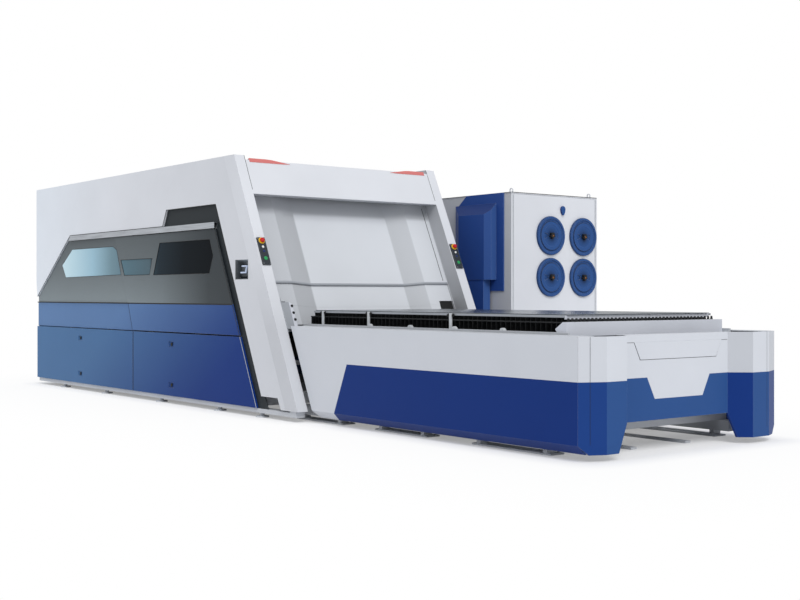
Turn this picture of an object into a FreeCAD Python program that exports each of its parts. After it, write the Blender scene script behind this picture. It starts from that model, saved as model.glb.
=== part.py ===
import FreeCAD, Part
import math
import os
import re
import Sketcher

# Laser cutting machine with a closed cabin, an exchange table with two pallets and a filter unit.
# Millimetres. X runs from the rear of the cabin to the free end of the table, Y from the operator
# side to the filter side, Z up. Outlines are written from the machine datum: the rear of the cabin,
# the centre plane of the table and the floor. The model's own origin is the middle of its footprint.

SIZES = {
    # pallets, and the gaps that the machine keeps round them
    "pallet_length": 3050,
    "pallet_half_width": 789,
    "pallet_height": 138,
    "pallet_stand": 7,
    "pallet_rail": 18,
    "pallet_rail_width": 49,
    "pallet_strip": 6,
    "pallet_side_gap": 23,
    "lip_gap": 76,
    "bed_gap": 91,
    "slat_pitch": 50,
    "slat_thickness": 6,
    "slat_inset": 25,
    "slat_end_gap": 28,
    "tooth_pitch": 39,
    "tooth_height": 26,
    "end_bar": 8,
    "wheel_radius": 24,
    "wheel_width": 24,
    "wheel_gap": 25,
    "wheel_arm": 30,
    "bracket_width": 28,
    "bracket_sheet": 8,
    "bracket_foot": 48,
    "bracket_first": 194,
    "bracket_second": 845,
    "bracket_third": 1867,
    "wheel_first": 910,
    "wheel_pitch": 520,
    "apron_overhang": 38,
    "apron_reach": 35,
    "apron_height": 96,
    "apron_sheet": 4,
    "sheet_margin": 25,
    "sheet_edge": 39,
    "sheet_plate": 4,
    # cabin
    "cabin_height": 2314,
    "cabin_gap": 95,
    "cabin_top_length": 4665,
    "front_lean": 24.9,
    "roof_drop": 24,
    "rear_edge_height": 1209,
    "skirt_gap": 3,
    "post_gap": 11,
    "post_step_height": 188,
    "post_step_width": 52,
    "seam": 8,
    # dark surround, fixed leaf and sliding door on the operator side
    "frame_low_x": 32,
    "frame_low_rise": 67,
    "track_margin": 6,
    "tab_foot_x": 3279,
    "tab_slant": 81,
    "tab_rise": 157,
    "post_side_width": 527,
    "leaf_setback": 650,
    "sill_height": 975,
    "band_height": 697,
    "surround_thickness": 10,
    "surround_lap": 30,
    "leaf_thickness": 6,
    "leaf_edge": 10,
    "door_gap": 2,
    "door_thickness": 12,
    "door_top_height": 1664,
    "door_left_sill": 2508,
    "door_slant": 313,
    "apron_slant": 103,
    "door_lap": 60,
    "door_travel": 1200,
    "track_end_gap": 11,
    "track_lead": 21,
    "track_overrun": 9,
    "track_gap": 8,
    "track_height": 55,
    "track_depth": 32,
    "track_wall": 3,
    "track_slot": 14,
    "glider_clearance": 2,
    "glider_height": 20,
    "hanger_thickness": 4,
    "hanger_width": 160,
    "window_drop": 89,
    "window_height": 318,
    "glass_thickness": 6,
    "glass_setback": 3,
    "side_window_left": 853,
    "side_window_nose": 106,
    "side_window_gap": 193,
    "small_window_margin": 27.3353,
    "small_window_width": 729,
    "small_window_drop": 148,
    "window_spacing": 158,
    "large_window_margin": 281.6,
    "large_window_tip": 64,
    # lift-off panels and their quarter-turn latches
    "panel_split": 2617,
    "panel_rear_x": 30,
    "latch_left_x": 1294,
    "latch_right_x": 3465,
    "latch_upper_height": 582,
    "latch_lower_height": 186,
    "latch_pocket_width": 112,
    "latch_pocket_height": 52,
    "latch_pocket_depth": 9,
    "latch_radius": 17,
    "latch_shaft_radius": 7,
    "latch_clearance": 0.5,
    "cam_length": 34,
    "cam_width": 16,
    "cam_thickness": 4,
    # front portal, shutter and lights
    "post_width": 103,
    "portal_depth": 168,
    "lintel_drop": 39,
    "lintel_height": 317,
    "guide_depth": 75,
    "guide_width": 46,
    "guide_proud": 4,
    "shutter_gap": 6,
    "shutter_sheet": 6,
    "shutter_step": 45,
    "shutter_inner": 530,
    "shutter_outer": 765,
    "shutter_clearance": 16,
    "shutter_height": 220,
    "shutter_notch": 40,
    "shutter_notch_width": 170,
    "shutter_lap": 45,
    "light_outer": 1010,
    "light_knee": 765,
    "light_tip": 580,
    "light_drop": 25,
    "light_height": 35,
    "light_depth": 30,
    "light_proud": 3,
    "guard_width": 62,
    "guard_sheet": 6,
    "guard_setback": 128,
    "guard_lip": 50,
    "guard_foot_drop": 40,
    "guard_top_rise": 20,
    "guard_bolt_radius": 7,
    # control plates on the posts
    "control_margin": 14,
    "control_width": 80,
    "control_top_height": 1556,
    "control_length": 262,
    "control_depth": 14,
    "stop_drop": 33,
    "white_drop": 92,
    "blue_drop": 134,
    "green_drop": 202,
    "collar_radius": 30,
    "collar_height": 6,
    "stop_radius": 21,
    "stop_stem_radius": 9,
    "stop_travel": 5,
    "stop_head": 18,
    "button_radius": 11,
    "green_radius": 17,
    "button_clearance": 0.4,
    "button_travel": 3,
    "button_proud": 5,
    # recessed display beside the door
    "display_gap": 2,
    "display_margin": 8,
    "display_foot": 1198,
    "display_top": 1372,
    "display_depth": 60,
    "display_wall": 8,
    "display_bevel": 25,
    "screen_rise": 26,
    # welded bed and gantry
    "bed_beam_width": 180,
    "bed_height": 1010,
    "bed_beam_height": 300,
    "bed_rear": 700,
    "bed_clearance": 52.4,
    "leg_inset": 130,
    "leg_width": 120,
    "cross_height": 100,
    "cross_gap": 25,
    "first_cross_x": 150,
    "base_rail_height": 38,
    "base_rail_width": 90,
    "base_rail_inset": 15,
    "foot_height": 40,
    "foot_radius": 58,
    "foot_pad": 12,
    "foot_nut_radius": 19,
    "foot_inset": 60,
    "foot_first": 738,
    "foot_second": 1865,
    "foot_third": 3146,
    "foot_fourth": 1338,
    "foot_fifth": 600,
    "anchor_edge": 18,
    "anchor_spacing": 600,
    "anchor_end": 95,
    "anchor_radius": 9,
    "plate_gap": 11,
    "plate_width": 130,
    "floor_bar_height": 16,
    "floor_bar_width": 60,
    "floor_bar_near": 245,
    "floor_bar_far": 335,
    "floor_bar_length": 925,
    "floor_bar_overrun": 25,
    "rail_width": 35,
    "rail_height": 30,
    "rack_width": 30,
    "rack_edge": 10,
    "rail_end_gap": 40,
    "shelf_thickness": 30,
    "shelf_overrun": 60,
    "truck_height": 108,
    "beam_end_gap": 60,
    "beam_width": 260,
    "beam_height": 270,
    "beam_drive": 90,
    "beam_rail": 20,
    "beam_rail_proud": 15,
    "gantry_front": 1430,
    "truck_length": 400,
    "slide_gap": 2,
    "carriage_width": 260,
    "carriage_height": 250,
    "carriage_plate": 43,
    "carriage_motor": 90,
    "head_offset": 190,
    "head_radius": 50,
    "head_length": 400,
    "head_slide_width": 110,
    "nozzle_radius": 14,
    "nozzle_neck_radius": 22,
    "head_standoff": 171,
    # laser source behind the bed
    "source_rear": 120,
    "source_depth": 530,
    "source_half_width": 620,
    "source_height": 1322,
    "source_groove": 6,
    "gland_radius": 22,
    "gland_height": 60,
    # exchange table
    "table_tuck": 32,
    "pallet_gap": 1,
    "pallet_travel": 3750,
    "frame_overrun": 84,
    "tower_reach": 336,
    "cover_gap": 12,
    "rim_rise": 17,
    "cover_sheet": 12,
    "cover_start": 70,
    "colour_height": 508,
    "colour_start": 816,
    "colour_slant": 176,
    "fold_height": 105,
    "cover_foot_height": 45,
    "fold_inset": 70,
    "flange_width": 150,
    "flange_sheet": 4,
    "tower_inner": 670,
    "tower_corner": 180,
    "tower_chamfer": 81,
    "tower_depth": 120,
    "tower_root": 538,
    "dip_half_top": 332,
    "dip_half_foot": 254,
    "dip_height": 361,
    "arch_height": 219,
    "arch_rise": 13,
    "arch_spread": 75,
    "field_drop": 52,
    "field_height": 116,
    "field_half_width": 463,
    "field_slant": 61,
    "field_proud": 3,
    "shelf_height": 780,
    "level_drop": 295,
    "floor_plate": 12,
    "table_beam_lift": 33,
    "table_beam_height": 80,
    "table_stud": 40,
    "table_beam_inner_lap": 25,
    "table_beam_width": 80,
    "table_cross_height": 60,
    "outrigger_width": 60,
    "outrigger_step": 5,
    "station_start": 230,
    "station_pitch": 950,
    "station_end": 120,
    "lip_sheet": 20,
    "lip_rise": 32,
    "end_beam_rise": 12,
    "end_beam_height": 60,
    "end_beam_depth": 44,
    "end_beam_gap": 30,
    "brace_width": 10,
    "shaft_inset": 40,
    "shaft_drop": 80,
    "bearing_width": 68,
    "bearing_drop": 50,
    "bearing_clearance": 0.4,
    "shaft_radius": 20,
    "sprocket_radius": 60,
    "sprocket_width": 16,
    "sprocket_offset": 640,
    "gear_case_length": 100,
    "gear_case_width": 120,
    "gear_case_drop": 55,
    "motor_radius": 44,
    "motor_length": 150,
    # filter unit
    "filter_near": 1500,
    "filter_width": 1220,
    "filter_reach": 279,
    "filter_length": 1350,
    "filter_height": 2070,
    "filter_plinth": 60,
    "filter_cap": 14,
    "filter_groove": 4,
    "filter_groove_depth": 8,
    "filter_wall": 28,
    "filter_latch_offset": 706,
    "filter_latch_height": 1930,
    "latch_plate": 18,
    "latch_bore": 8.6,
    "latch_stem": 8,
    "cover_radius": 195,
    "cover_near": 537,
    "cover_across_gap": 77,
    "cover_up_gap": 28,
    "cover_low_height": 1238,
    "cover_depth": 24,
    "cover_wing_depth": 6,
    "knob_radius": 34,
    "knob_height": 26,
    "knob_stud": 8,
    "eye_radius": 22,
    "eye_bore": 16,
    "eye_plate": 12,
    "eye_inset": 60,
    "hood_wing": 230,
    "hood_tail": 180,
    "hood_foot": 1100,
    "hood_flange": 12,
    "hood_margin": 5,
    "hood_floor_rise": 110,
    "hood_top_drop": 210,
    "hood_bevel": 170,
    "hood_corner": 65,
    "duct_width": 310,
    "duct_setback": 203.6,
    "duct_depth": 90,
    "duct_gap": 25,
    "duct_floor": 110,
    "duct_height": 300,
    "duct_wall": 4,
    "duct_panel_gap": 90,
}

os.makedirs("parts", exist_ok=True)
doc = FreeCAD.newDocument("LaserCutter")
sheet = doc.addObject("Spreadsheet::Sheet", "Sizes")
for row, (word, number) in enumerate(SIZES.items(), start=1):
    sheet.set(f"A{row}", word.replace("_", " "))
    sheet.set(f"B{row}", str(number))
    sheet.setAlias(f"B{row}", word)
doc.recompute()

NODES = []
WORD = re.compile(r"[a-z]+(?:_[a-z]+)*")


def bound(text):
    """Point every word of a formula that names a size at its cell, and open each size that follows."""
    def cell(found):
        word = found[0]
        if word in FOLLOWS:
            return f"({bound(FOLLOWS[word])})"
        return "Sizes." + word if word in SIZES else word

    return WORD.sub(cell, str(text))


def bind(thing, **formulas):
    for name, text in formulas.items():
        thing.setExpression(name, bound(text))


# Reference planes of the machine. The front leans back, so its place depends on the height.

ORIGIN_X = "table_end / 2"
ORIGIN_Y = "(filter_near + filter_width - cabin_half_width) / 2"
PORTAL_BACK = "portal_depth"


def front_x(height, behind="0"):
    """X of the plane that lies `behind` the leaning front, at a height."""
    return (f"(cabin_top_length + (cabin_height - ({height})) * tan(front_lean)"
            f" - ({behind}) / cos(front_lean))")


def along_front(height, behind="0"):
    """Distance up the leaning front at which the plane `behind` it reaches a height."""
    return f"((({height}) + ({behind}) * sin(front_lean)) / cos(front_lean))"


def strip_x(height):
    """Rear edge of the white post cover, where the dark strip ends."""
    return f"({front_x(height)} - post_side_width)"


def door_left_x(height):
    """Slanting left edge of the door."""
    return f"(door_left_sill - door_slant * (({height}) - sill_height) / (door_top_height - sill_height))"


def leaf_x(height):
    """Front edge of the door and of the blue panels."""
    return f"({front_x(height)} - leaf_setback)"


# Sizes that follow from others, so that pieces that meet or pass each other still do after a change.

FOLLOWS = {
    # widths, from the pallet outward
    "shelf_inner": "pallet_half_width + pallet_side_gap",
    "lip_outer": "pallet_half_width + lip_gap",
    "bed_inner": "pallet_half_width + bed_gap",
    "bed_outer": "bed_inner + bed_beam_width",
    "cabin_half_width": "bed_outer + cabin_gap",
    "opening_half_width": "cabin_half_width - post_width",
    "table_half_width": "opening_half_width - cover_gap",
    "apron_half_width": "pallet_half_width + apron_overhang",
    "beam_half_length": "bed_outer - beam_end_gap",
    "tower_outer": "table_half_width - tower_corner",
    "plate_inner": "pallet_half_width + plate_gap",
    "anchor_offset": "plate_inner + anchor_edge",
    "control_offset": "cabin_half_width - control_margin - control_width / 2",
    # heights, from the floor and from the pallet's shelf
    "base_rail_top": "foot_height + base_rail_height",
    "skirt_height": "base_rail_top + skirt_gap",
    "post_foot_height": "skirt_height + post_gap",
    "pallet_floor": "shelf_height + pallet_stand",
    "slat_top": "pallet_floor + pallet_height",
    "lip_height": "shelf_height + lip_rise",
    "table_height": "shelf_height + rim_rise",
    "shutter_foot_height": "slat_top + sheet_plate + shutter_clearance",
    "shutter_seam_height": "shutter_foot_height + shutter_height",
    "head_tip_height": "slat_top + sheet_plate + head_standoff",
    "beam_foot_height": "bed_height + rail_height + slide_gap + truck_height",
    "roof_foot": "cabin_height - roof_drop - panel_thickness",
    "lintel_top": "cabin_height - lintel_drop",
    "lintel_foot": "lintel_top - lintel_height",
    "light_top_height": "cabin_height - light_drop",
    "light_foot_height": "light_top_height - light_height",
    # covers, door and windows of the operator side
    "panel_thickness": "door_thickness + door_gap + leaf_thickness",
    "leaf_inset": "door_thickness + door_gap",
    "frame_low_height": "sill_height + frame_low_rise",
    "frame_top_height": "door_top_height + track_gap + track_height + track_margin",
    "tab_height": "frame_top_height + tab_rise",
    "tab_top_x": "tab_foot_x + tab_slant",
    "door_left_top": "door_left_sill - door_slant",
    "door_left_foot": "door_left_sill + apron_slant",
    "frame_top_x": "door_left_top - door_travel + track_end_gap",
    "track_left": "frame_top_x - track_lead",
    "track_right": f"{leaf_x('door_top_height')} + track_overrun",
    "window_top": "door_top_height - window_drop",
    "window_foot": "window_top - window_height",
    "small_window_top": "window_top - small_window_drop",
    "side_window_right": "door_left_sill - side_window_gap",
    "side_window_tip": "side_window_left - side_window_nose",
    "small_window_left": f"{door_left_x('small_window_top')} + small_window_margin",
    "small_window_right": "small_window_left + small_window_width",
    "large_window_left": "small_window_right + window_spacing",
    "large_window_right": f"{leaf_x('window_foot')} - large_window_margin",
    "display_left": f"{strip_x('display_foot')} + surround_lap + display_gap",
    "display_right": f"{front_x('display_top', PORTAL_BACK)} - display_margin",
    # lengths of the table, which starts at the leaning front
    "bed_front": f"{front_x('bed_height', 'portal_depth + guide_depth')} - bed_clearance",
    "leg_pitch": "(bed_front - bed_rear - 2 * leg_inset) / 4",
    "rail_front": front_x("post_foot_height", "portal_depth / 4"),
    "frame_front": f"{front_x('shelf_height')} - table_tuck",
    "pallet_start": "frame_front + pallet_gap",
    "frame_rear": "pallet_start + pallet_length + frame_overrun",
    "table_end": "frame_rear + tower_reach",
    "cover_left_top": "frame_front + cover_start",
    "colour_top_x": "cover_left_top + colour_start",
    "colour_foot_x": "colour_top_x - colour_slant",
    # duct and filter, which stand where the duct leaves the cabin
    "duct_right": f"{front_x('duct_floor + duct_height', PORTAL_BACK)} - duct_setback",
    "duct_left": "duct_right - duct_width",
    "filter_front": "duct_right + filter_reach",
    "hood_left": "duct_left - hood_wing",
    "hood_right": "duct_right + hood_tail",
    "hood_depth": "duct_depth + duct_gap + hood_margin",
    "cover_spacing": "2 * cover_radius + cover_across_gap",
    "cover_rise": "2 * cover_radius + cover_up_gap",
}


def place(thing, x="0", y="0", z="0", axis=None, angle="0"):
    """Put a thing at a point of the machine, turned about an axis."""
    if axis:
        thing.Placement = FreeCAD.Placement(FreeCAD.Vector(), FreeCAD.Rotation(FreeCAD.Vector(*axis), 1))
        thing.setExpression("Placement.Rotation.Angle", bound(angle))
    thing.setExpression("Placement.Base.x", bound(f"({x}) - {ORIGIN_X}"))
    thing.setExpression("Placement.Base.y", bound(f"({y}) - {ORIGIN_Y}"))
    thing.setExpression("Placement.Base.z", bound(z))
    return thing


def place_on_front(thing, out="0", across="0", up="0", faces_out=False):
    """Put a thing on the leaning front: local Z up along it, or straight out of it."""
    x = f"{front_x('0')} - ({up}) * sin(front_lean) + ({out}) * cos(front_lean)"
    z = f"({up}) * cos(front_lean) + ({out}) * sin(front_lean)"
    if faces_out:
        return place(thing, x, across, z, (0, 1, 0), "90 - front_lean")
    return place(thing, x, across, z, (0, -1, 0), "front_lean")


def box(name, x, y, z):
    """A block between two planes along each axis."""
    block = doc.addObject("Part::Box", name)
    bind(block, Length=f"({x[1]}) - ({x[0]})", Width=f"({y[1]}) - ({y[0]})", Height=f"({z[1]}) - ({z[0]})")
    return place(block, x[0], y[0], z[0])


def rod(name, x, y, z, radius, length, axis=None, angle="0"):
    cylinder = doc.addObject("Part::Cylinder", name)
    bind(cylinder, Radius=radius, Height=length)
    return place(cylinder, x, y, z, axis, angle)


def across_rod(name, x, y, z, radius):
    """A round bar that lies across the machine between two Y planes."""
    return rod(name, x, y[0], z, radius, f"({y[1]}) - ({y[0]})", (1, 0, 0), "-90")


def pin_out(name, radius, low, high, across, up):
    """A round pin that stands out of the leaning front, between two depths."""
    cylinder = doc.addObject("Part::Cylinder", name)
    bind(cylinder, Radius=radius, Height=f"({high}) - ({low})")
    return place_on_front(cylinder, low, across, up, faces_out=True)


def start_sketch(body, name, plane):
    sketch = body.newObject("Sketcher::SketchObject", name)
    support = [face for face in body.Origin.OriginFeatures if face.Role == plane + "_Plane"][0]
    sketch.AttachmentSupport = (support, [""])
    sketch.MapMode = "FlatFace"
    return sketch


def draw_loop(sketch, points):
    """Close a loop of lines whose corners are bound to formulas."""
    first = sketch.GeometryCount
    count = len(points)
    corners = [FreeCAD.Vector(math.cos(2 * math.pi * turn / count), math.sin(2 * math.pi * turn / count), 0)
               for turn in range(count)]
    for turn in range(count):
        sketch.addGeometry(Part.LineSegment(corners[turn], corners[(turn + 1) % count]), False)
    for turn in range(count):
        following = first + (turn + 1) % count
        sketch.addConstraint(Sketcher.Constraint("Coincident", first + turn, 2, following, 1))
    for turn, point in enumerate(points):
        for kind, text in zip(("DistanceX", "DistanceY"), point):
            index = sketch.addConstraint(Sketcher.Constraint(kind, -1, 1, first + turn, 1, 1.0))
            sketch.setExpression(f"Constraints[{index}]", bound(text))


def draw_circle(sketch, centre, radius):
    index = sketch.addGeometry(Part.Circle(FreeCAD.Vector(1, 1, 0), FreeCAD.Vector(0, 0, 1), 1), False)
    for kind, text in zip(("DistanceX", "DistanceY"), centre):
        limit = sketch.addConstraint(Sketcher.Constraint(kind, -1, 1, index, 3, 1.0))
        sketch.setExpression(f"Constraints[{limit}]", bound(text))
    limit = sketch.addConstraint(Sketcher.Constraint("Radius", index, 1.0))
    sketch.setExpression(f"Constraints[{limit}]", bound(radius))


def padded(name, plane, loops, depth, circles=()):
    """A body padded from outlines on one of its own origin planes."""
    body = doc.addObject("PartDesign::Body", name)
    sketch = start_sketch(body, name + "_outline", plane)
    for loop in loops:
        draw_loop(sketch, loop)
    for centre, radius in circles:
        draw_circle(sketch, centre, radius)
    pad = body.newObject("PartDesign::Pad", name + "_pad")
    pad.Profile = sketch
    bind(pad, Length=depth)
    return body


def side_plate(name, y, loops, circles=()):
    """A plate that faces sideways, drawn in X and Z, between two Y planes."""
    return place(padded(name, "XZ", loops, f"({y[1]}) - ({y[0]})", circles), y=y[1])


def cross_plate(name, x, loops, circles=()):
    """A plate that faces along the machine, drawn in Y and Z, between two X planes."""
    return place(padded(name, "YZ", loops, f"({x[1]}) - ({x[0]})", circles), x=x[0])


def flat_plate(name, z, loops, circles=()):
    """A plate that lies flat, drawn in X and Y, between two heights."""
    return place(padded(name, "XY", loops, f"({z[1]}) - ({z[0]})", circles), z=z[0])


def front_plate(name, out, loops, circles=()):
    """A plate on the leaning front, drawn across and up it, between two depths."""
    body = padded(name, "YZ", loops, f"({out[1]}) - ({out[0]})", circles)
    return place_on_front(body, out[0])


def front_profile(name, up, loop):
    """A sheet drawn in depth and width, and run up along the leaning front."""
    body = padded(name, "XY", [loop], f"({up[1]}) - ({up[0]})")
    return place_on_front(body, up=up[0])


def turned(name, profile):
    """A body turned about its own Z axis from radius and height pairs."""
    body = doc.addObject("PartDesign::Body", name)
    sketch = start_sketch(body, name + "_profile", "XZ")
    draw_loop(sketch, profile)
    turn = body.newObject("PartDesign::Revolution", name + "_turn")
    turn.Profile = sketch
    turn.ReferenceAxis = (sketch, ["V_Axis"])
    turn.Angle = 360
    return body


def fused(name, things):
    union = doc.addObject("Part::MultiFuse", name)
    union.Shapes = things
    union.Refine = True
    return union


def cut(name, base, tool):
    difference = doc.addObject("Part::Cut", name)
    difference.Base = base
    difference.Tool = tool
    return difference


def together(name, things):
    """Loose like pieces that share one node."""
    group = doc.addObject("Part::Compound", name)
    group.Links = things
    return group


def node(thing, name):
    """Name a finished piece of the machine."""
    thing.Label = name
    NODES.append(thing)
    return thing


def rectangle(low, high):
    return [(low[0], low[1]), (high[0], low[1]), (high[0], high[1]), (low[0], high[1])]


def both_sides(low, high):
    """The same span on the operator side and on the filter side."""
    return ((f"-({high})", f"-({low})"), (low, high))


# ---------------------------------------------------------------- cabin covers

NEAR = "-cabin_half_width"
NEAR_INSIDE = "-cabin_half_width + panel_thickness"


def window_slope_x(height):
    """Rear edge of the opening in the white cover, which leans forward."""
    rise = "(frame_top_x - frame_low_x) / (frame_top_height - frame_low_height)"
    return f"(frame_low_x + (({height}) - frame_low_height) * {rise})"


POST_STEP_X = f"({front_x('post_step_height')} - post_side_width / 2)"
WHITE_TOP = [
    ("0", "rear_edge_height"),
    ("0", "cabin_height"),
    (front_x("cabin_height", PORTAL_BACK), "cabin_height"),
    (front_x("post_foot_height", PORTAL_BACK), "post_foot_height"),
]
DUCT_PANEL_X = "(duct_left - duct_panel_gap)"


def build_covers():
    display_hole = rectangle(("display_left", "display_foot"), ("display_right", "display_top"))
    near_outline = WHITE_TOP + [
        (f"{POST_STEP_X} + post_step_width", "post_foot_height"),
        (POST_STEP_X, "post_step_height"),
        (strip_x("post_step_height"), "post_step_height"),
        (strip_x("tab_height"), "tab_height"),
        ("tab_top_x", "tab_height"),
        ("tab_foot_x", "frame_top_height"),
        ("frame_top_x", "frame_top_height"),
        ("frame_low_x", "frame_low_height"),
    ]
    near = side_plate("operator_cover", (NEAR, NEAR_INSIDE), [near_outline, display_hole])
    node(near, "operator_side_cover")

    far_outline = WHITE_TOP + [
        (DUCT_PANEL_X, "post_foot_height"),
        (DUCT_PANEL_X, "sill_height"),
        ("frame_low_x", "sill_height"),
        ("frame_low_x", "frame_low_height"),
    ]
    duct_hole = rectangle(("duct_left + duct_wall", "duct_floor + duct_wall"),
                          ("duct_right - duct_wall", "duct_floor + duct_height - duct_wall"))
    far_planes = ("cabin_half_width - panel_thickness", "cabin_half_width")
    node(side_plate("far_cover", far_planes, [far_outline, duct_hole]), "far_side_cover")

    inner = "cabin_half_width - panel_thickness"
    rear_outline = rectangle((f"-({inner})", "rear_edge_height"), (inner, "cabin_height - roof_drop"))
    node(cross_plate("rear_wall", ("0", "panel_thickness"), [rear_outline]), "rear_cover")

    roof_top = "cabin_height - roof_drop"
    groove_starts = [f"cabin_top_length * {share} / 4" for share in (1, 2, 3)]
    roof_profile = [
        ("panel_thickness", "roof_foot"),
        (front_x("roof_foot", PORTAL_BACK), "roof_foot"),
        (front_x(roof_top, PORTAL_BACK), roof_top),
    ]
    for start in reversed(groove_starts):
        roof_profile += [
            (f"{start} + seam", roof_top),
            (f"{start} + seam", f"{roof_top} - seam"),
            (start, f"{roof_top} - seam"),
            (start, roof_top),
        ]
    roof_profile.append(("panel_thickness", roof_top))
    node(side_plate("roof", (f"-({inner})", inner), [roof_profile]), "roof_cover")


def lower_panel_outline(right_hand, foot, top):
    if right_hand:
        rear = "panel_split + seam / 2"
        return [(rear, foot), (leaf_x(foot), foot), (leaf_x(top), top), (rear, top)]
    return rectangle(("panel_rear_x", foot), ("panel_split - seam / 2", top))


def build_fixed_blue_panels():
    band_planes = ("-cabin_half_width + leaf_inset", "-cabin_half_width + leaf_inset + leaf_thickness")
    band = [
        ("panel_rear_x", "band_height"),
        ("door_left_foot + door_lap", "band_height"),
        ("door_left_sill + door_lap", "sill_height"),
        ("panel_rear_x", "sill_height"),
    ]
    pieces = [side_plate("side_band", band_planes, [band])]
    far_planes = ("cabin_half_width - panel_thickness", "cabin_half_width")
    top = "sill_height - seam"
    for name, start, end in (("left", "panel_rear_x", "panel_split - seam / 2"),
                             ("right", "panel_split + seam / 2", f"{DUCT_PANEL_X} - seam")):
        outline = rectangle((start, "skirt_height"), (end, top))
        pieces.append(side_plate(f"far_panel_{name}", far_planes, [outline]))
    inner = "cabin_half_width - panel_thickness"
    rear = rectangle((f"-({inner})", "skirt_height"), (inner, "rear_edge_height"))
    pieces.append(cross_plate("rear_panel", ("panel_rear_x", "panel_rear_x + panel_thickness"), [rear]))
    node(together("blue_panels", pieces), "fixed_blue_panels")


def latch_places(x):
    return ((x, "latch_upper_height"), (x, "latch_lower_height"))


def build_lift_off_panels():
    inside = f"{NEAR_INSIDE} - 1"
    for name, right_hand, x in (("lower_panel_left", False, "latch_left_x"),
                                ("lower_panel_right", True, "latch_right_x")):
        outline = lower_panel_outline(right_hand, "skirt_height", "band_height - seam")
        holes = [(place_of, "latch_shaft_radius + latch_clearance") for place_of in latch_places(x)]
        panel = side_plate(name + "_plate", (NEAR, inside), [outline], holes)
        pockets = []
        for level, (across, up) in zip(("upper", "lower"), latch_places(x)):
            pockets.append(box(f"{name}_{level}_pocket",
                               (f"{across} - latch_pocket_width / 2", f"{across} + latch_pocket_width / 2"),
                               (f"{NEAR} - 1", f"{NEAR} + latch_pocket_depth"),
                               (f"{up} - latch_pocket_height / 2", f"{up} + latch_pocket_height / 2")))
        node(cut(name + "_body", panel, fused(name + "_pockets", pockets)), name)


def build_panel_latches():
    """Quarter-turn latches: a slotted head in a square pocket, a shaft and a cam."""
    head = "latch_pocket_depth - 2"
    reach = "panel_thickness + 4"
    for side, x in (("left", "latch_left_x"), ("right", "latch_right_x")):
        for level, (across, up) in zip(("upper", "lower"), latch_places(x)):
            name = f"latch_{side}_{level}"
            face = f"{NEAR} + 1"
            knob = rod(name + "_head", across, f"{face} + {head}", up, "latch_radius", head, (1, 0, 0), "90")
            shaft = rod(name + "_shaft", across, f"{NEAR} + {reach}", up, "latch_shaft_radius",
                        f"{reach} - 1", (1, 0, 0), "90")
            cam = box(name + "_cam", (f"{across} - cam_width / 2", f"{across} + cam_width / 2"),
                      (f"{NEAR} + {reach} - cam_thickness", f"{NEAR} + {reach}"),
                      (f"{up} - cam_width / 2", f"{up} + cam_length"))
            slot = box(name + "_slot", (f"{across} - latch_radius / 8", f"{across} + latch_radius / 8"),
                       (f"{NEAR} - 1", f"{face} + latch_pocket_depth / 3"),
                       (f"{up} - latch_radius * 0.7", f"{up} + latch_radius * 0.7"))
            node(cut(name + "_body", fused(name + "_solid", [knob, shaft, cam]), slot), name)


# ------------------------------------------------- surround, leaves and sliding door

SURROUND_FACE = NEAR_INSIDE
FIXED_WINDOW = [
    ("side_window_left + 185", "window_top"),
    ("side_window_right - 203", "window_top"),
    ("side_window_right - 109", "window_top - 41"),
    ("side_window_right", "window_foot + 13"),
    ("side_window_left", "window_foot"),
    ("side_window_tip", "window_foot + 144"),
]
SMALL_WINDOW = [
    ("small_window_left", "small_window_top"),
    ("small_window_right", "small_window_top"),
    ("small_window_right - 59", "window_foot + 4"),
    ("small_window_left + 86", "window_foot + 4"),
]
LARGE_WINDOW = [
    ("large_window_left", "window_top"),
    ("large_window_right", "window_top"),
    ("large_window_right + large_window_tip", "window_top - 156"),
    ("large_window_right - 7", "window_foot"),
    ("large_window_left - 137", "window_foot"),
]


def build_surround():
    lap = "surround_lap"
    outline = [
        ("panel_rear_x + 20", "band_height"),
        ("panel_rear_x + 20", "frame_low_height"),
        (f"frame_top_x - {lap} / 2", f"frame_top_height + {lap}"),
        (f"tab_foot_x - {lap}", f"frame_top_height + {lap}"),
        (f"tab_top_x - {lap}", f"tab_height + {lap}"),
        (f"{strip_x(f'tab_height + {lap}')} + {lap}", f"tab_height + {lap}"),
        (f"{strip_x('post_step_height')} + {lap}", "post_step_height"),
        (f"{strip_x('skirt_height')} + {lap}", "skirt_height"),
        (f"{leaf_x('skirt_height')} - {lap}", "skirt_height"),
        (f"{leaf_x('band_height')} - {lap}", "band_height"),
    ]
    doorway = [
        ("door_left_sill - door_lap", "sill_height + 40"),
        (f"{leaf_x('sill_height')} - 2 * door_lap", "sill_height + 40"),
        (f"{leaf_x('window_top')} - door_lap", "window_top + 45"),
        ("door_left_top + 3 * door_lap", "window_top + 45"),
    ]
    side_opening = [
        ("side_window_left - 20", "window_foot - 20"),
        ("side_window_left - 90", "window_foot + 144"),
        ("side_window_left + 175", "window_top + 30"),
        ("side_window_right - 190", "window_top + 30"),
        ("side_window_right - 10", "window_foot - 20"),
    ]
    planes = (SURROUND_FACE, f"{SURROUND_FACE} + surround_thickness")
    node(side_plate("surround", planes, [outline, doorway, side_opening]), "door_surround")


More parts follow.
